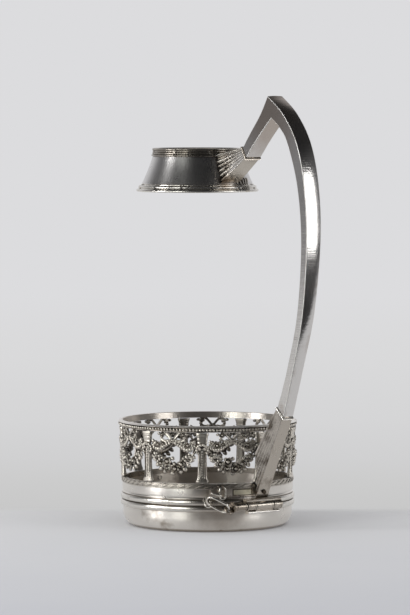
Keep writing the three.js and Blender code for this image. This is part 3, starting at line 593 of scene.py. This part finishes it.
def small_ball(name, radius):
    """A coarse round ball at the origin, for what is repeated many times."""
    ball = fresh(name, bpy.ops.mesh.primitive_uv_sphere_add, segments=6, ring_count=4, radius=radius * MM)
    bpy.ops.object.shade_smooth()
    return ball


# a leaf is pressed from the ball: pointed, narrower at its tip and arched over its length
leaf = small_ball("leaf", 1)
for corner in leaf.data.vertices:
    along = corner.co.z / MM
    arch = 0.1 * MM * (1 - along**2)
    corner.co = (corner.co.x * 0.42 * (1 - 0.25 * along), (along + 0.9) * 0.5 * MM, corner.co.y * 0.34 + arch)


def copied(piece, name):
    """A copy of a piece, with its own mesh."""
    copy = bpy.data.objects.new(name, piece.data.copy())
    scene.collection.objects.link(copy)
    return copy


def planted(sprig, spots):
    """Copies a sprig to spots of (place, turn, size, tip) and joins the copies."""
    copies = []
    for place, turn, size, tip in spots:
        spin = Matrix.Rotation(turn, 4, "Z") @ Matrix.Rotation(tip, 4, "X")
        laid = Matrix.Translation(Vector(place) * MM) @ spin
        copies.append(copied(sprig, sprig.name + "_copy"))
        copies[-1].data.transform(laid @ Matrix.Diagonal((size, size, size, 1)))
    return joined(copies)


# flat work has x along the rim, y up and z outward; a column has x outward and y along
FLAT_TO_COLUMN = Matrix(((0, 0, 1, 0), (1, 0, 0, 0), (0, 1, 0, 0), (0, 0, 0, 1)))
TIE_TIP = -0.15
# leaves of the tie, one side: x, y, way in degrees, size
TIE_LEAVES = [(0.5, 50.6, -75, 2.4), (1.4, 50.0, -62, 2.6), (2.2, 49.0, -55, 2.6)]
TIE_LEAVES += [(1.2, 48.4, -80, 2.2), (2.7, 47.6, -66, 2.6)]
tie_spots = []
for side in (-1, 1):
    for x, y, way, size in TIE_LEAVES:
        turn = radians(side * (way + 90)) + pi
        tie_spots.append(((side * x, y, 1.1 - 0.1 * x * x), turn, size, TIE_TIP))
tie = planted(leaf, tie_spots)
tie.data.transform(FLAT_TO_COLUMN)

PEARLS = 13
PEARL_STEP = 1.45
pearl = small_ball("pearl", 0.56)
string = planted(pearl, [((0, 31.4 + PEARL_STEP * i, 0.9 - 0.008 * i), 0, 1, 0) for i in range(PEARLS)])
string.data.transform(FLAT_TO_COLUMN)
column = joined([column, tie, string])

for k in range(BAYS):
    copy = copied(column, f"cast_column_{k + 1}")
    for corner in copy.data.vertices:
        corner.co.x += COLUMN_RING * MM + LEAN * (corner.co.z - COLUMN_FOOT * MM)
    copy.data.transform(Matrix.Rotation(2 * pi * k / BAYS, 4, "Z"))
    finish(copy, chased_silver, "chased_silver", f"column_{k + 1}")
for model in (column, pearl):
    bpy.data.objects.remove(model)

# Leaf-and-ribbon strip: a silver border of slanting leaves between two fine wires, cast in the straight,
# bent round and soldered on the band's top edge.
STRIP_LEAVES = 60
STRIP_MIDDLE = (49.05 * MM, 0, 26.4 * MM)

# rubbed silver: the chasing is worn shallow, so its hollows are only half dark, and faces toward the
# axis carry painted shade
strip_silver = silver(
    "rubbed_sterling_silver", "DAD3C8", "4E4236", 0.24, scratches=0.3, hollows=1.0, cloud=140, spread=0.6,
    back_shade=0.5
)
strip_section = [(47.0, 24.75), (48.9, 24.75), (49.0, 24.95)] + arc(49.0, 25.2, 0.22, 0.25, -90, 90, 5)
strip_section += [(48.95, 25.5), (49.0, 26.4), (48.95, 27.3)] + arc(49.0, 27.55, 0.22, 0.22, -90, 90, 5)
strip_section += [(47.0, 27.8)]
strip = turned("leaf_band", strip_section)
twist = fresh("twist", bpy.ops.mesh.primitive_uv_sphere_add, segments=8, ring_count=12, radius=MM)
for corner in twist.data.vertices:
    along = corner.co.z / MM
    sway = 0.85 * sin(1.5 * along) * MM
    corner.co = (0.36 * corner.co.y, 3.1 * along * MM, 0.42 * corner.co.x * (1.25 - along * along) + sway)
twist.data.transform(Matrix.Translation(STRIP_MIDDLE))
bpy.ops.object.shade_smooth()
repeat_round(twist, STRIP_LEAVES)
finish(joined([strip, twist]), strip_silver, "chased_silver", "leaf_strip")

# Bows: in each bay two silver ribbons fall from the rim to a knot, whose loops end in flowers. A thin
# garland of leaves passes behind the knot from column to column. All are cast flat and bent round.
random.seed(7)


def smoothly(points, steps):
    """Points along a smooth curve through the given ones."""
    pts = [Vector(p) for p in points]
    out = []
    for i in range(len(pts) - 1):
        a = pts[max(i - 1, 0)]
        b, c = pts[i], pts[i + 1]
        d = pts[min(i + 2, len(pts) - 1)]
        first, second, third = c - a, 2 * a - 5 * b + 4 * c - d, 3 * b - a - 3 * c + d
        for s in range(steps):
            t = s / steps
            out.append(0.5 * ((2 * b) + first * t + second * t**2 + third * t**3))
    return out + [pts[-1]]


def heading(points, i):
    """The way that a row of points runs at point i."""
    return (points[min(i + 1, len(points) - 1)] - points[max(i - 1, 0)]).normalized()


def ribbon(path, width, thick, lift):
    """A flat ribbon along a path in the flat bay, creased along its middle."""
    sections = []
    points = smoothly(path, 5)
    for i, point in enumerate(points):
        way = heading(points, i)
        side = Vector((-way.y, way.x)) * width / 2
        left, right = point - side, point + side
        top = lift + thick
        section = [(left.x, left.y, lift), (left.x, left.y, top), (point.x, point.y, lift + thick * 0.55)]
        section += [(right.x, right.y, top), (right.x, right.y, lift), (point.x, point.y, lift - 0.05)]
        sections.append(section)
    return drawn("ribbon", sections, smooth=50)


def core(path, radius_at, lift, steps=4):
    """The stem of a garland: a round rod of changing thickness along a path in the flat bay."""
    points = smoothly(path, steps)
    sections = []
    for i, point in enumerate(points):
        way = heading(points, i)
        r = radius_at(i / (len(points) - 1))
        turns = [2 * pi * k / 6 for k in range(6)]
        spokes = [(r * cos(a), r * 0.7 * sin(a)) for a in turns]
        sections.append([(point.x - way.y * u, point.y + way.x * u, z) for u, z in spokes])
    stem = drawn("stem", sections, smooth=60)
    stem.data.transform(Matrix.Translation((0, 0, lift * MM)))
    return stem


# radius and height of the rings of a flower, from its flat back over the bulging petals to the boss
FLOWER = ((0.3, -0.22), (0.86, -0.2), (1.0, 0.05), (0.74, 0.42), (0.42, 0.02), (0.3, 0.34), (0.14, 0.52))


def rosette(name, petals):
    """A flower in relief, 2 mm across, with its petals notched apart."""
    rings = []
    for r, high in FLOWER:
        ring = []
        for i in range(petals * 3):
            turn = 2 * pi * i / (petals * 3)
            notch = (0.74, 1.0, 1.0)[i % 3] if r > 0.5 else 1
            fall = 0.5 if i % 3 == 0 and 0.5 < r < 0.9 and high > 0 else 1
            ring.append((r * notch * cos(turn), r * notch * sin(turn), high * fall))
        rings.append(ring)
    return drawn(name, rings, smooth=60)


flower = rosette("flower", 5)
round_flower = rosette("round_flower", 6)


def strewn(path, count, size_at, lift, spread):
    """Leaves on both sides of a path, pointing down it from both ends, as spots for planted()."""
    points = smoothly(path, 12)
    spots = []
    for i in range(count):
        t = (i + 0.5) / count
        at = min(int(t * (len(points) - 1)), len(points) - 2)
        point, way = points[at], (points[at + 1] - points[at]).normalized()
        if t > 0.5:
            way = -way
        for side in (-1, 1):
            turn = atan2(way.y, way.x) - pi / 2 + side * (spread + random.uniform(-0.25, 0.25))
            spots.append(((point.x, point.y, lift), turn, size_at(t) * random.uniform(0.85, 1.15), -0.25))
    return spots


def pointing(spots, lift):
    """Leaves at (x, y) that point a way in degrees from +x, with their size, as spots for planted()."""
    return [((x, y, lift), radians(way - 90), size, -0.15) for x, y, way, size in spots]


def mirrored(spots):
    return spots + [(-x, y, 180 - way, size) for x, y, way, size in spots]


def bent_round(work, name, bay):
    """Bends a flat bay round the gallery to its own place, leaning outward to the rim."""
    copy = copied(work, f"{name}_{bay + 1}")
    for corner in copy.data.vertices:
        x, y, z = corner.co / MM
        turn = 2 * pi * (bay + 0.5) / BAYS + x / COLUMN_RING
        r = COLUMN_RING + z + LEAN * (y - COLUMN_FOOT)
        corner.co = Vector((r * cos(turn), r * sin(turn), y)) * MM
    return copy


GARLAND = [(-13.1, 51.4), (-11.2, 49.9), (-8.6, 48.9), (-5.5, 49.5), (-2.6, 50.9), (0, 51.7)]
GARLAND += [(-x, y) for x, y in GARLAND[-2::-1]]
LOOP = [(0.3, 52.1), (2.6, 51.7), (5.3, 51.9), (6.8, 53.5), (6.3, 55.7), (4.3, 56.4), (2.4, 54.9)]
LOOP += [(0.4, 52.3)]
TAIL = [(6.5, 53.6), (6.9, 51.6), (6.4, 49.6)]
parts = [core(GARLAND, lambda t: 0.42, -0.3)]
for side in (-1, 1):
    parts.append(ribbon([(side * x, y) for x, y in LOOP], 1.35, 0.5, 0.3))
    parts.append(ribbon([(side * x, y) for x, y in TAIL], 1.0, 0.4, 0.1))
hanging = [(-12.4, 49.7, 250, 2.2), (-11.2, 48.9, 240, 2.9), (-10.0, 48.4, 262, 3.3), (-8.8, 48.2, 275, 3.4)]
hanging += [(-7.6, 48.4, 290, 3.3), (-6.3, 48.9, 300, 2.8), (-5.0, 49.5, 310, 2.2)]
rising = [(-12.2, 50.6, 100, 2.0), (-10.8, 49.9, 75, 2.0), (-7.0, 49.7, 110, 2.1), (-4.6, 50.4, 60, 2.2)]
rising += [(-3.0, 51.0, 85, 1.8), (-1.6, 50.9, 250, 2.0), (-3.4, 50.2, 280, 2.0), (-6.2, 54.4, 235, 2.3)]
rising += [(-7.3, 55.6, 185, 2.2), (-5.0, 55.9, 20, 1.8)]
parts.append(planted(leaf, pointing(mirrored(hanging), 0.35)))
parts.append(planted(leaf, pointing(mirrored(rising), 0.45)))
parts.append(planted(leaf, strewn(GARLAND, 19, lambda t: 2.1, 0.5, 0.7)))
blooms = []
for side in (-1, 1):
    blooms += [((side * 6.1, 55.2, 0.65), side * 0.3, 1.7, 0), ((side * 8.8, 49.4, 0.9), 1.1, 1.95, 0)]
    blooms += [((side * 11.4, 50.3, 0.6), 0.4, 1.15, 0), ((side * 5.7, 50.1, 0.7), 0.9, 1.35, 0)]
    blooms += [((side * 3.0, 51.3, 0.6), 0.2, 1.1, 0)]
parts.append(planted(flower, blooms))
parts.append(planted(round_flower, [((0, 52.1, 0.8), 0.2, 1.45, 0)]))
bow_work = joined(parts)
for k in range(BAYS):
    finish(bent_round(bow_work, "ribbon_bow", k), chased_silver, "chased_silver", f"bow_{k + 1}")

# Swags: heavy silver garlands that hang on thin stems from neck to neck of the columns, with a thick
# bunch of flowers at the bottom. They are cast flat with the bows and bent round with them.
SWAG = [(-15.9, 50.6), (-14.7, 48.9), (-13.2, 46.3), (-11.6, 44.0), (-9.2, 41.0), (-5.4, 38.2), (0, 37.2)]
SWAG += [(-x, y) for x, y in SWAG[-2::-1]]
parts = [core(SWAG, lambda t: 0.5 + 1.3 * sin(pi * t) ** 6, 0.3, steps=5)]
outward = [(-14.6, 48.0, 235, 2.0), (-13.4, 45.8, 215, 2.2), (-12.0, 43.6, 240, 2.2), (-10.3, 41.6, 205, 2.6)]
outward += [(-8.4, 39.2, 230, 3.2), (-6.2, 36.9, 225, 3.2), (-4.6, 35.6, 262, 2.8), (-0.6, 34.6, 280, 2.4)]
outward += [(-12.4, 46.9, 40, 2.0), (-10.6, 43.9, 25, 2.2), (-8.6, 41.6, 75, 2.8), (-6.0, 40.9, 110, 2.6)]
outward += [(-0.4, 40.8, 80, 2.4), (-9.6, 40.6, 185, 2.4)]
parts.append(planted(leaf, pointing(mirrored(outward), 0.7)))
parts.append(planted(leaf, strewn(SWAG[3:-3], 8, lambda t: 2.2 + 0.8 * sin(pi * t), 1.0, 1.1)))
blooms = [((-2.9, 40.2, 1.3), 0.3, 2.9, 0), ((5.2, 38.8, 1.2), 0.9, 2.5, 0)]
blooms += [((-7.0, 39.0, 1.1), 0.1, 2.2, 0), ((-3.2, 36.2, 1.2), 0.6, 2.0, 0)]
for side in (-1, 1):
    blooms += [((side * 9.9, 42.4, 0.8), 0.7, 1.7, 0), ((side * 12.6, 45.8, 0.7), 0.2, 1.3, 0)]
parts.append(planted(flower, blooms))
parts.append(planted(round_flower, [((1.6, 36.2, 1.35), 0.3, 2.8, 0), ((7.4, 41.0, 0.9), 0.3, 1.5, 0)]))
swag_work = joined(parts)
for k in range(BAYS):
    finish(bent_round(swag_work, "flower_swag", k), chased_silver, "chased_silver", f"swag_{k + 1}")
for model in (bow_work, swag_work, leaf, flower, round_flower):
    bpy.data.objects.remove(model)

# Handle: a square bar of solid silver, forged to a bow, mitred and soldered at the top, planished flat
# and polished. It swells from the foot to the mitre and its outer face is slightly crowned.
BAR_TOP = 10.4
BAR_LOW = 6.9
BAR_FROM, BAR_TO = 66.4, 195  # heights between which the bar swells
CROWN = 0.055  # rise of the outer face, as a share of half its width


def bar_width(z):
    t = min(max((z - BAR_FROM) / (BAR_TO - BAR_FROM), 0), 1)
    return BAR_LOW + (BAR_TOP - BAR_LOW) * t * t * (3 - 2 * t)


# edges of the bar as (x, z) points, from the foot up to the mitre and down to the collar
OUTER = [(75.6, 66.4), (84.6, 93.4), (93.8, 124.9), (98.4, 163.7), (96.6, 194.4), (89.6, 218.4)]
OUTER += [(77.2, 234.9), (62.8, 245.1)]
INNER = [(69.9, 71.7), (78.6, 93), (88.4, 124.7), (92.8, 163.5), (89.8, 194.2), (80.9, 218.4)]
INNER += [(73.3, 227.6), (66.3, 232.4)]
UPPER = [(62.8, 245.1), (56, 234.8), (47.1, 224.7), (40, 216.2)]
LOWER = [(66.3, 232.4), (58.6, 225.7), (50.5, 218), (43.3, 210.3)]
far_edge = smoothly(OUTER, 8) + smoothly(UPPER, 6)[1:]
near_edge = smoothly(INNER, 8) + smoothly(LOWER, 6)[1:]


def bar_section(far, near):
    """A square section whose outer face is crowned by a few degrees."""
    half = bar_width(near.y) / 2
    out = (far - near).normalized()
    crown = [(u, far - out * half * CROWN * u * u) for u in (-1, -0.6, -0.2, 0.2, 0.6, 1)]
    return [(p.x, u * half, p.y) for u, p in crown] + [(near.x, half, near.y), (near.x, -half, near.y)]


def bevel(piece, width, angle):
    """Rounds the edges of a piece that are sharper than an angle in degrees."""
    mod = piece.modifiers.new("edges", "BEVEL")
    mod.width = width * MM
    mod.segments = 2
    mod.limit_method = "ANGLE"
    mod.angle_limit = radians(angle)
    bpy.context.view_layer.objects.active = piece
    bpy.ops.object.modifier_apply(modifier="edges")
    bpy.ops.object.select_all(action="DESELECT")
    piece.select_set(True)
    bpy.ops.object.shade_smooth_by_angle(angle=radians(angle))


def second_metal(piece, metal, chosen):
    """Gives faces a metal of their own, chosen by how far they face sideways."""
    piece.data.materials.append(metal)
    for face in piece.data.polygons:
        face.material_index = 1 if chosen(abs(face.normal.y)) else 0


# planished silver: hammered flat and buffed to nearly a mirror, the brightest thing on the holder
bright_silver = silver(
    "planished_sterling_silver", "EAE7E4", "B09F91", 0.12, scratches=0.02, cloud=50, spread=0.55
)
# rubbed edges: hands have worn them round and white, so they catch light from everywhere
rubbed_edge = silver("rubbed_silver_edge", "F7F5F2", "D5CFC7", 0.42, stains=())
bar = drawn("handle", [bar_section(a, b) for a, b in zip(far_edge, near_edge)])
bevel(bar, 0.4, 25)
finish(bar, bright_silver, "polished_silver", "handle_bar")
second_metal(bar, rubbed_edge, lambda sideways: 0.2 < sideways < 0.96)


# Clasps: cast silver ferrules with a double reed, one at each end of the bar, which is let into them
# and soldered. They cover its joints with the gussets.
def section_past(corners, distance, proud, half):
    """A four-cornered section past the end of the bar, proud of it and twice half wide."""
    first, second = (Vector(c) for c in corners)
    along = (second - first).normalized()
    step = Vector((along.y, -along.x)) * distance
    a, b = first + step - along * proud, second + step + along * proud
    return [(a.x, -half, a.y), (a.x, half, a.y), (b.x, half, b.y), (b.x, -half, b.y)]


# dull silver: seldom rubbed, so it is clouded brown and its lights are soft
dull_silver = silver(
    "dull_sterling_silver", "CAC2B7", "6A5B4A", 0.22, scratches=0.4, hollows=1.0, cloud=120, spread=0.56
)
FOOT_END = [INNER[0], OUTER[0]]
NECK_END = [UPPER[-1], LOWER[-1]]
# how far past the bar's end, and how far proud of it
MOULDING = [(0.25, 0.1), (0.32, 0.5), (0.55, 0.6), (0.72, 0.5), (0.78, -0.1), (0.96, -0.1)]
MOULDING += [(1.02, 0.6), (1.2, 0.85), (1.5, 0.8), (1.65, 0.3)]
CLASPS = (("foot", FOOT_END, 3.47, polished_silver), ("neck", NECK_END, 5.2, dull_silver))
for place, corners, half, metal in CLASPS:
    rings = [section_past(corners, at, proud, half + 0.35 * proud) for at, proud in MOULDING]
    moulding = drawn(f"{place}_moulding", rings, smooth=40)
    finish(moulding, metal, "polished_silver", f"{place}_clasp")

# Gussets: fluted silver wedges that carry the handle, one soldered and riveted to the band, one soldered
# to the collar. Their flutes were cut with a round file and fan out from the clasps.
FLUTES = 6
FLUTE_STEPS = 8
FLUTE_DEEP = 0.34  # as a share of the flute's width
GUSSET_STEPS = (0, 0.04, 0.1, 0.2, 0.35, 0.5, 0.65, 0.8, 0.92, 1)
CLASP_LENGTH = 1.9
FOOT_WALL = [(50, 44.2), (51, 19.4)]
NECK_WALL = [(15.5, 211.1), (24.6, 195.6)]


def fluted_side(near, far, t, half, side, fitted):
    """Points down one side of a gusset, part t of the way from its clasp to its far edge."""
    points = []
    count = FLUTES * FLUTE_STEPS
    wide_near, wide_far = ((Vector(edge[0]) - Vector(edge[1])).length / FLUTES for edge in (near, far))
    deep = FLUTE_DEEP * (wide_near + (wide_far - wide_near) * t)
    for i in range(count + 1):
        u = i / count
        a = Vector(near[0]).lerp(Vector(near[1]), u)
        b = Vector(fitted(Vector(far[0]).lerp(Vector(far[1]), u), half))
        margin = min(u, 1 - u) * 14
        groove = abs(sin(pi * u * FLUTES)) ** 0.8 * deep * min(1, margin)
        place = a.lerp(b, t)
        points.append((place.x, side * (half - groove), place.y))
    return points


def gusset(name, corners, far, half_near, half_far, fitted):
    """A wedge from a clasp to its far edge, which fitted() lays on the wall that it is soldered to."""
    first, _, second, _ = section_past(corners, CLASP_LENGTH, 0, 1)
    near = [(first[0], first[2]), (second[0], second[2])]
    rings = []
    for t in GUSSET_STEPS:
        half = half_near + (half_far - half_near) * t
        left, right = (fluted_side(near, far, t, half, side, fitted) for side in (-1, 1))
        rings.append(left + right[::-1])
    return drawn(name, rings, smooth=35)


def on_cone(place, half):
    """Moves a point of the neck gusset's far edge on to the collar's cone."""
    wall = cone_wall((place.y - CONE_FOOT) / CONE_HIGH) + 0.3
    return COLLAR_AT + (wall * wall - half * half) ** 0.5, place.y


# fresh flutes: bright ridges that glint, with brown between them
fluted_silver = silver("fluted_sterling_silver", "F4F0EA", "5C4E40", 0.14, scratches=0.2, hollows=1.0)
# worn flutes: browner and seldom wiped, but with lights as sharp
worn_flutes = silver("worn_fluted_silver", "E4DDD3", "4A3D31", 0.1, scratches=0.2, hollows=1.0)
foot = gusset("foot_wedge", FOOT_END, FOOT_WALL, 3.45, 4.1, lambda place, half: place)
finish(foot, dull_silver, "satin_silver", "foot_gusset")
neck = gusset("neck_wedge", NECK_END, NECK_WALL, 5.2, 6.4, on_cone)
finish(neck, dull_silver, "satin_silver", "neck_gusset")
second_metal(neck, fluted_silver, lambda sideways: sideways > 0.3)
second_metal(foot, worn_flutes, lambda sideways: sideways > 0.3)

# Hinge: three silver tubes on one line, the two outer ones on the band's leaf, the middle one on the
# dish's. The leaves are drawn strips, soldered to the reeds.
BARREL_X = 52.6
BARREL = 2.55  # outer radius
BORE = 1.5
OUTER_END = 12.1  # of the two outer knuckles, along the axis
OUTER_START = 6.3
MIDDLE_END = 6.0


def on_barrel(piece):
    """Turns a spun piece from the Z axis to the axis of the hinge."""
    axis = Matrix.Translation((BARREL_X * MM, 0, SPLIT * MM))
    piece.data.transform(axis @ Matrix.Rotation(radians(-90), 4, "X"))
    return piece


def knuckle(start, end):
    """A tube between two places on the hinge's axis, with a fine reed turned at each end."""
    reed = [(BORE, 0.05), (BARREL - 0.2, 0), (BARREL, 0.2), (BARREL, 0.7), (BARREL - 0.25, 0.9)]
    reed += [(BARREL - 0.03, 1.1)]
    section = [(r, start + in_from) for r, in_from in reed]
    section += [(r, end - in_from) for r, in_from in reed[::-1]]
    return on_barrel(turned("knuckle", section, steps=36, smooth=30))


def strip_of(name, half, profile):
    """A strip along the hinge, from its profile of (x, z) points."""
    return drawn(name, [[(x, y, z) for x, z in profile] for y in (-half, half)], smooth=40)


upper_profile = [(50.1, 17.45), (53.2, 17.45), (53.55, 17.7), (53.55, 18.6), (53.3, 18.85), (50.1, 19.0)]
upper = strip_of("leaf_strip_upper", OUTER_END, upper_profile)
knuckles = [upper, knuckle(-OUTER_END, -OUTER_START), knuckle(OUTER_START, OUTER_END)]
finish(joined(knuckles), dull_silver, "polished_silver", "hinge_knuckles")
web = strip_of("web", 5.9, [(50.6, 12.0), (53.4, 12.0), (53.6, 13.4), (50.6, 13.4)])
web = joined([web, knuckle(-MIDDLE_END, MIDDLE_END)])
finish(web, dull_silver, "polished_silver", "hinge_leaf", body="dish")
# worn edge: the leaf that fingers find, rubbed to a bright line
worn_edge = silver("bright_worn_silver", "F4F0EA", "8A7A68", 0.16, scratches=0.3, hollows=0.3, stains=())
lower_profile = [(50.1, 10.85)] + arc(52.8, 11.6, 0.9, 0.78, -90, 90, 8) + [(50.1, 12.35)]
finish(strip_of("leaf_strip_lower", 11.1, lower_profile), worn_edge, "polished_silver", body="dish")

# Hinge pin: turned from silver rod, a shank with a ribbed grip and a disc to pull it by. An eye of wire
# is soldered under its middle for the chain.
pin_section = [(0, 11.8), (0.9, 11.8), (1.2, 11.5), (1.2, -12.3), (2.0, -12.4), (2.15, -12.6), (2.15, -13.1)]
for rib in range(2):
    pin_section += [(1.95, -13.25 - 0.5 * rib), (2.15, -13.4 - 0.5 * rib), (2.15, -13.6 - 0.5 * rib)]
pin_section += [(2.1, -14.4), (2.1, -19.0), (1.9, -19.2), (2.15, -19.5), (2.15, -20.1), (1.8, -20.4)]
pin_section += [(1.9, -20.75), (3.0, -20.9), (3.2, -21.15), (3.2, -21.65), (3.0, -21.85), (2.2, -21.9)]
pin_section += [(1.6, -21.8), (0, -21.8)]
shank = on_barrel(turned("shank", pin_section[::-1], steps=36, smooth=32))


def loop_of_wire(name, length, width, wire, along, across, middle, sides=10, steps=32):
    """A link: a ring of wire, drawn out to its length, laid the way it hangs."""
    along, across = Vector(along).normalized(), Vector(across)
    across = (across - along * across.dot(along)).normalized()
    through = along.cross(across)
    radii = {"major_radius": (width - wire) / 2 * MM, "minor_radius": wire / 2 * MM}
    link = fresh(name, bpy.ops.mesh.primitive_torus_add, major_segments=steps, minor_segments=sides, **radii)
    straight = (length - width) / 2 * MM
    for corner in link.data.vertices:
        corner.co.x += straight * max(-1, min(1, corner.co.x / (0.12 * width * MM)))
    basis = Matrix((along, across, through)).transposed().to_4x4()
    link.data.transform(Matrix.Translation(Vector(middle) * MM) @ basis)
    bpy.ops.object.shade_smooth()
    return link


EYE_AT = Vector((52.6, -24.25, 13.85))
EYE_WIRE = 1.3
eye = loop_of_wire("eye", 5.3, 5.3, EYE_WIRE, (0, 1, 0), (0.6492, 0, -0.7606), EYE_AT)
finish(joined([shank, eye]), dull_silver, "polished_silver", "hinge_pin", body="pin")

# Chain: an oval ring in the pin's eye, a staple soldered to the strip, and three links between them. All
# are bent from drawn silver wire, and each hangs with a little play.
RING_WIRE = 1.3
RING_ALONG = Vector((-0.6033, -0.6636, 0.4424))
RING_ACROSS = Vector((-0.7364, 0.2505, -0.6285))
RING_AT = EYE_AT + RING_ALONG * 6.85

# worn chain: rubbed bright on itself, black where the loops meet
chain_silver = silver(
    "worn_chain_silver", "F0EBE2", "1C1611", 0.12, scratches=0.2, hollows=0.9, cloud=200, spread=0.58,
    stains=()
)
ring = loop_of_wire("oval_ring", 15, 9.4, RING_WIRE, RING_ALONG, RING_ACROSS, RING_AT, 12, 48)
finish(ring, chain_silver, "polished_silver", "chain_ring", body="ring")

# oxidised silver: brown grey and pitted with black
dark_silver = silver(
    "oxidised_sterling_silver", "9A8F80", "2A231D", 0.24, scratches=0.8, hollows=1.0, cloud=300
)
STAPLE_WIRE = 0.9
STAPLE_OUT = Vector((0.8894, -0.4571, 0))
STAPLE_AT = Vector((46.2497, -23.7691, 26.4))
STUD_AT = STAPLE_AT - STAPLE_OUT * 1.9
staple = loop_of_wire("staple_ring", 3.6, 3.6, STAPLE_WIRE, STAPLE_OUT, (0, 0, 1), STAPLE_AT)
stud = fresh("stud", bpy.ops.mesh.primitive_cylinder_add, vertices=20, radius=1.05 * MM, depth=0.8 * MM)
bpy.ops.object.shade_smooth_by_angle(angle=radians(40))
outward = STAPLE_OUT.to_track_quat("Z", "X").to_matrix().to_4x4()
stud.data.transform(Matrix.Translation(STUD_AT * MM) @ outward)
finish(joined([staple, stud]), dark_silver, "polished_silver", "chain_staple")

LINK_LENGTH, LINK_WIDTH, LINK_WIRE = 7.5, 4.3, 0.9
SLACK = 0.2  # between a link and the wire that it hangs on


def hang(name, number, hook, along, across, wire):
    """Hangs a link on the wire of the given thickness at a hook."""
    along = Vector(along).normalized()
    middle = Vector(hook) + along * (LINK_LENGTH / 2 - LINK_WIRE - wire / 2 - SLACK)
    link = loop_of_wire(name, LINK_LENGTH, LINK_WIDTH, LINK_WIRE, along, across, middle)
    finish(link, chain_silver, "polished_silver", f"chain_link_{number}", body=f"link_{number}")


FIRST_HOOK = (46.2497, -23.7691, 25.05)
SECOND_HOOK = (45.6552, -25.3025, 21.6804)
SECOND_ALONG = (-0.3497, -0.902, 0.2532)
THIRD_HOOK = (44.3352, -33.3412, 19.9108)
hang("link_from_staple", 1, FIRST_HOOK, (0, 0, -1), (-0.4571, -0.8894, 0), STAPLE_WIRE)
# the second link hangs as if on a wire of 1 mm, which keeps it clear of the first
hang("link_between", 2, SECOND_HOOK, SECOND_ALONG, STAPLE_OUT, 1.0)
hang("link_on_ring", 3, THIRD_HOOK, (0.595, -0.2024, -0.7778), (0.322, 0.9467, 0), RING_WIRE)


# Rivets: silver pins hammered over at both ends, one through the foot of the handle, whose outer head is
# nearly black, and one through the catch at the back.
def rivet(name, head_at, side):
    """A rivet through the band, from its inner head to an outer one at head_at."""
    section = [(0, 46.25), (1.25, 46.3), (1.25, 46.55), (0.8, 46.68), (0.8, head_at), (1.25, head_at)]
    section += [(1.25, head_at + 0.2), (0.75, head_at + 0.45), (0, head_at + 0.5)]
    piece = turned(name, section, steps=24, smooth=30)
    turn = Matrix.Rotation(radians(90 * side), 4, "Y")
    piece.data.transform(Matrix.Translation((0, 0, 22.6 * MM)) @ turn)
    return piece


finish(rivet("foot_pin", 53.6, 1), grimy_silver, "polished_silver", "foot_rivet")
finish(rivet("catch_pin", 51.7, -1), polished_silver, "polished_silver", "catch_rivet")

# Catch: a strap of spring silver at the back, riveted to the band, that hooks over the dish's reed. Its
# lower edge is rolled outward for a finger.
strap_profile = [(-51.4, 11.1), (-50.7, 10.9), (-50.2, 11.3), (-50.1, 12.0), (-50.1, 19.2), (-49.1, 19.3)]
strap_profile += [(-49.1, 24.3), (-50.9, 24.3), (-51.3, 23.9)]
strap = drawn("strap", [[(x, y, z) for x, z in strap_profile] for y in (-4.0, -3.6, 0, 3.6, 4.0)], smooth=40)
bevel(strap, 0.2, 50)
finish(strap, satin_silver, "satin_silver", "catch_strap")
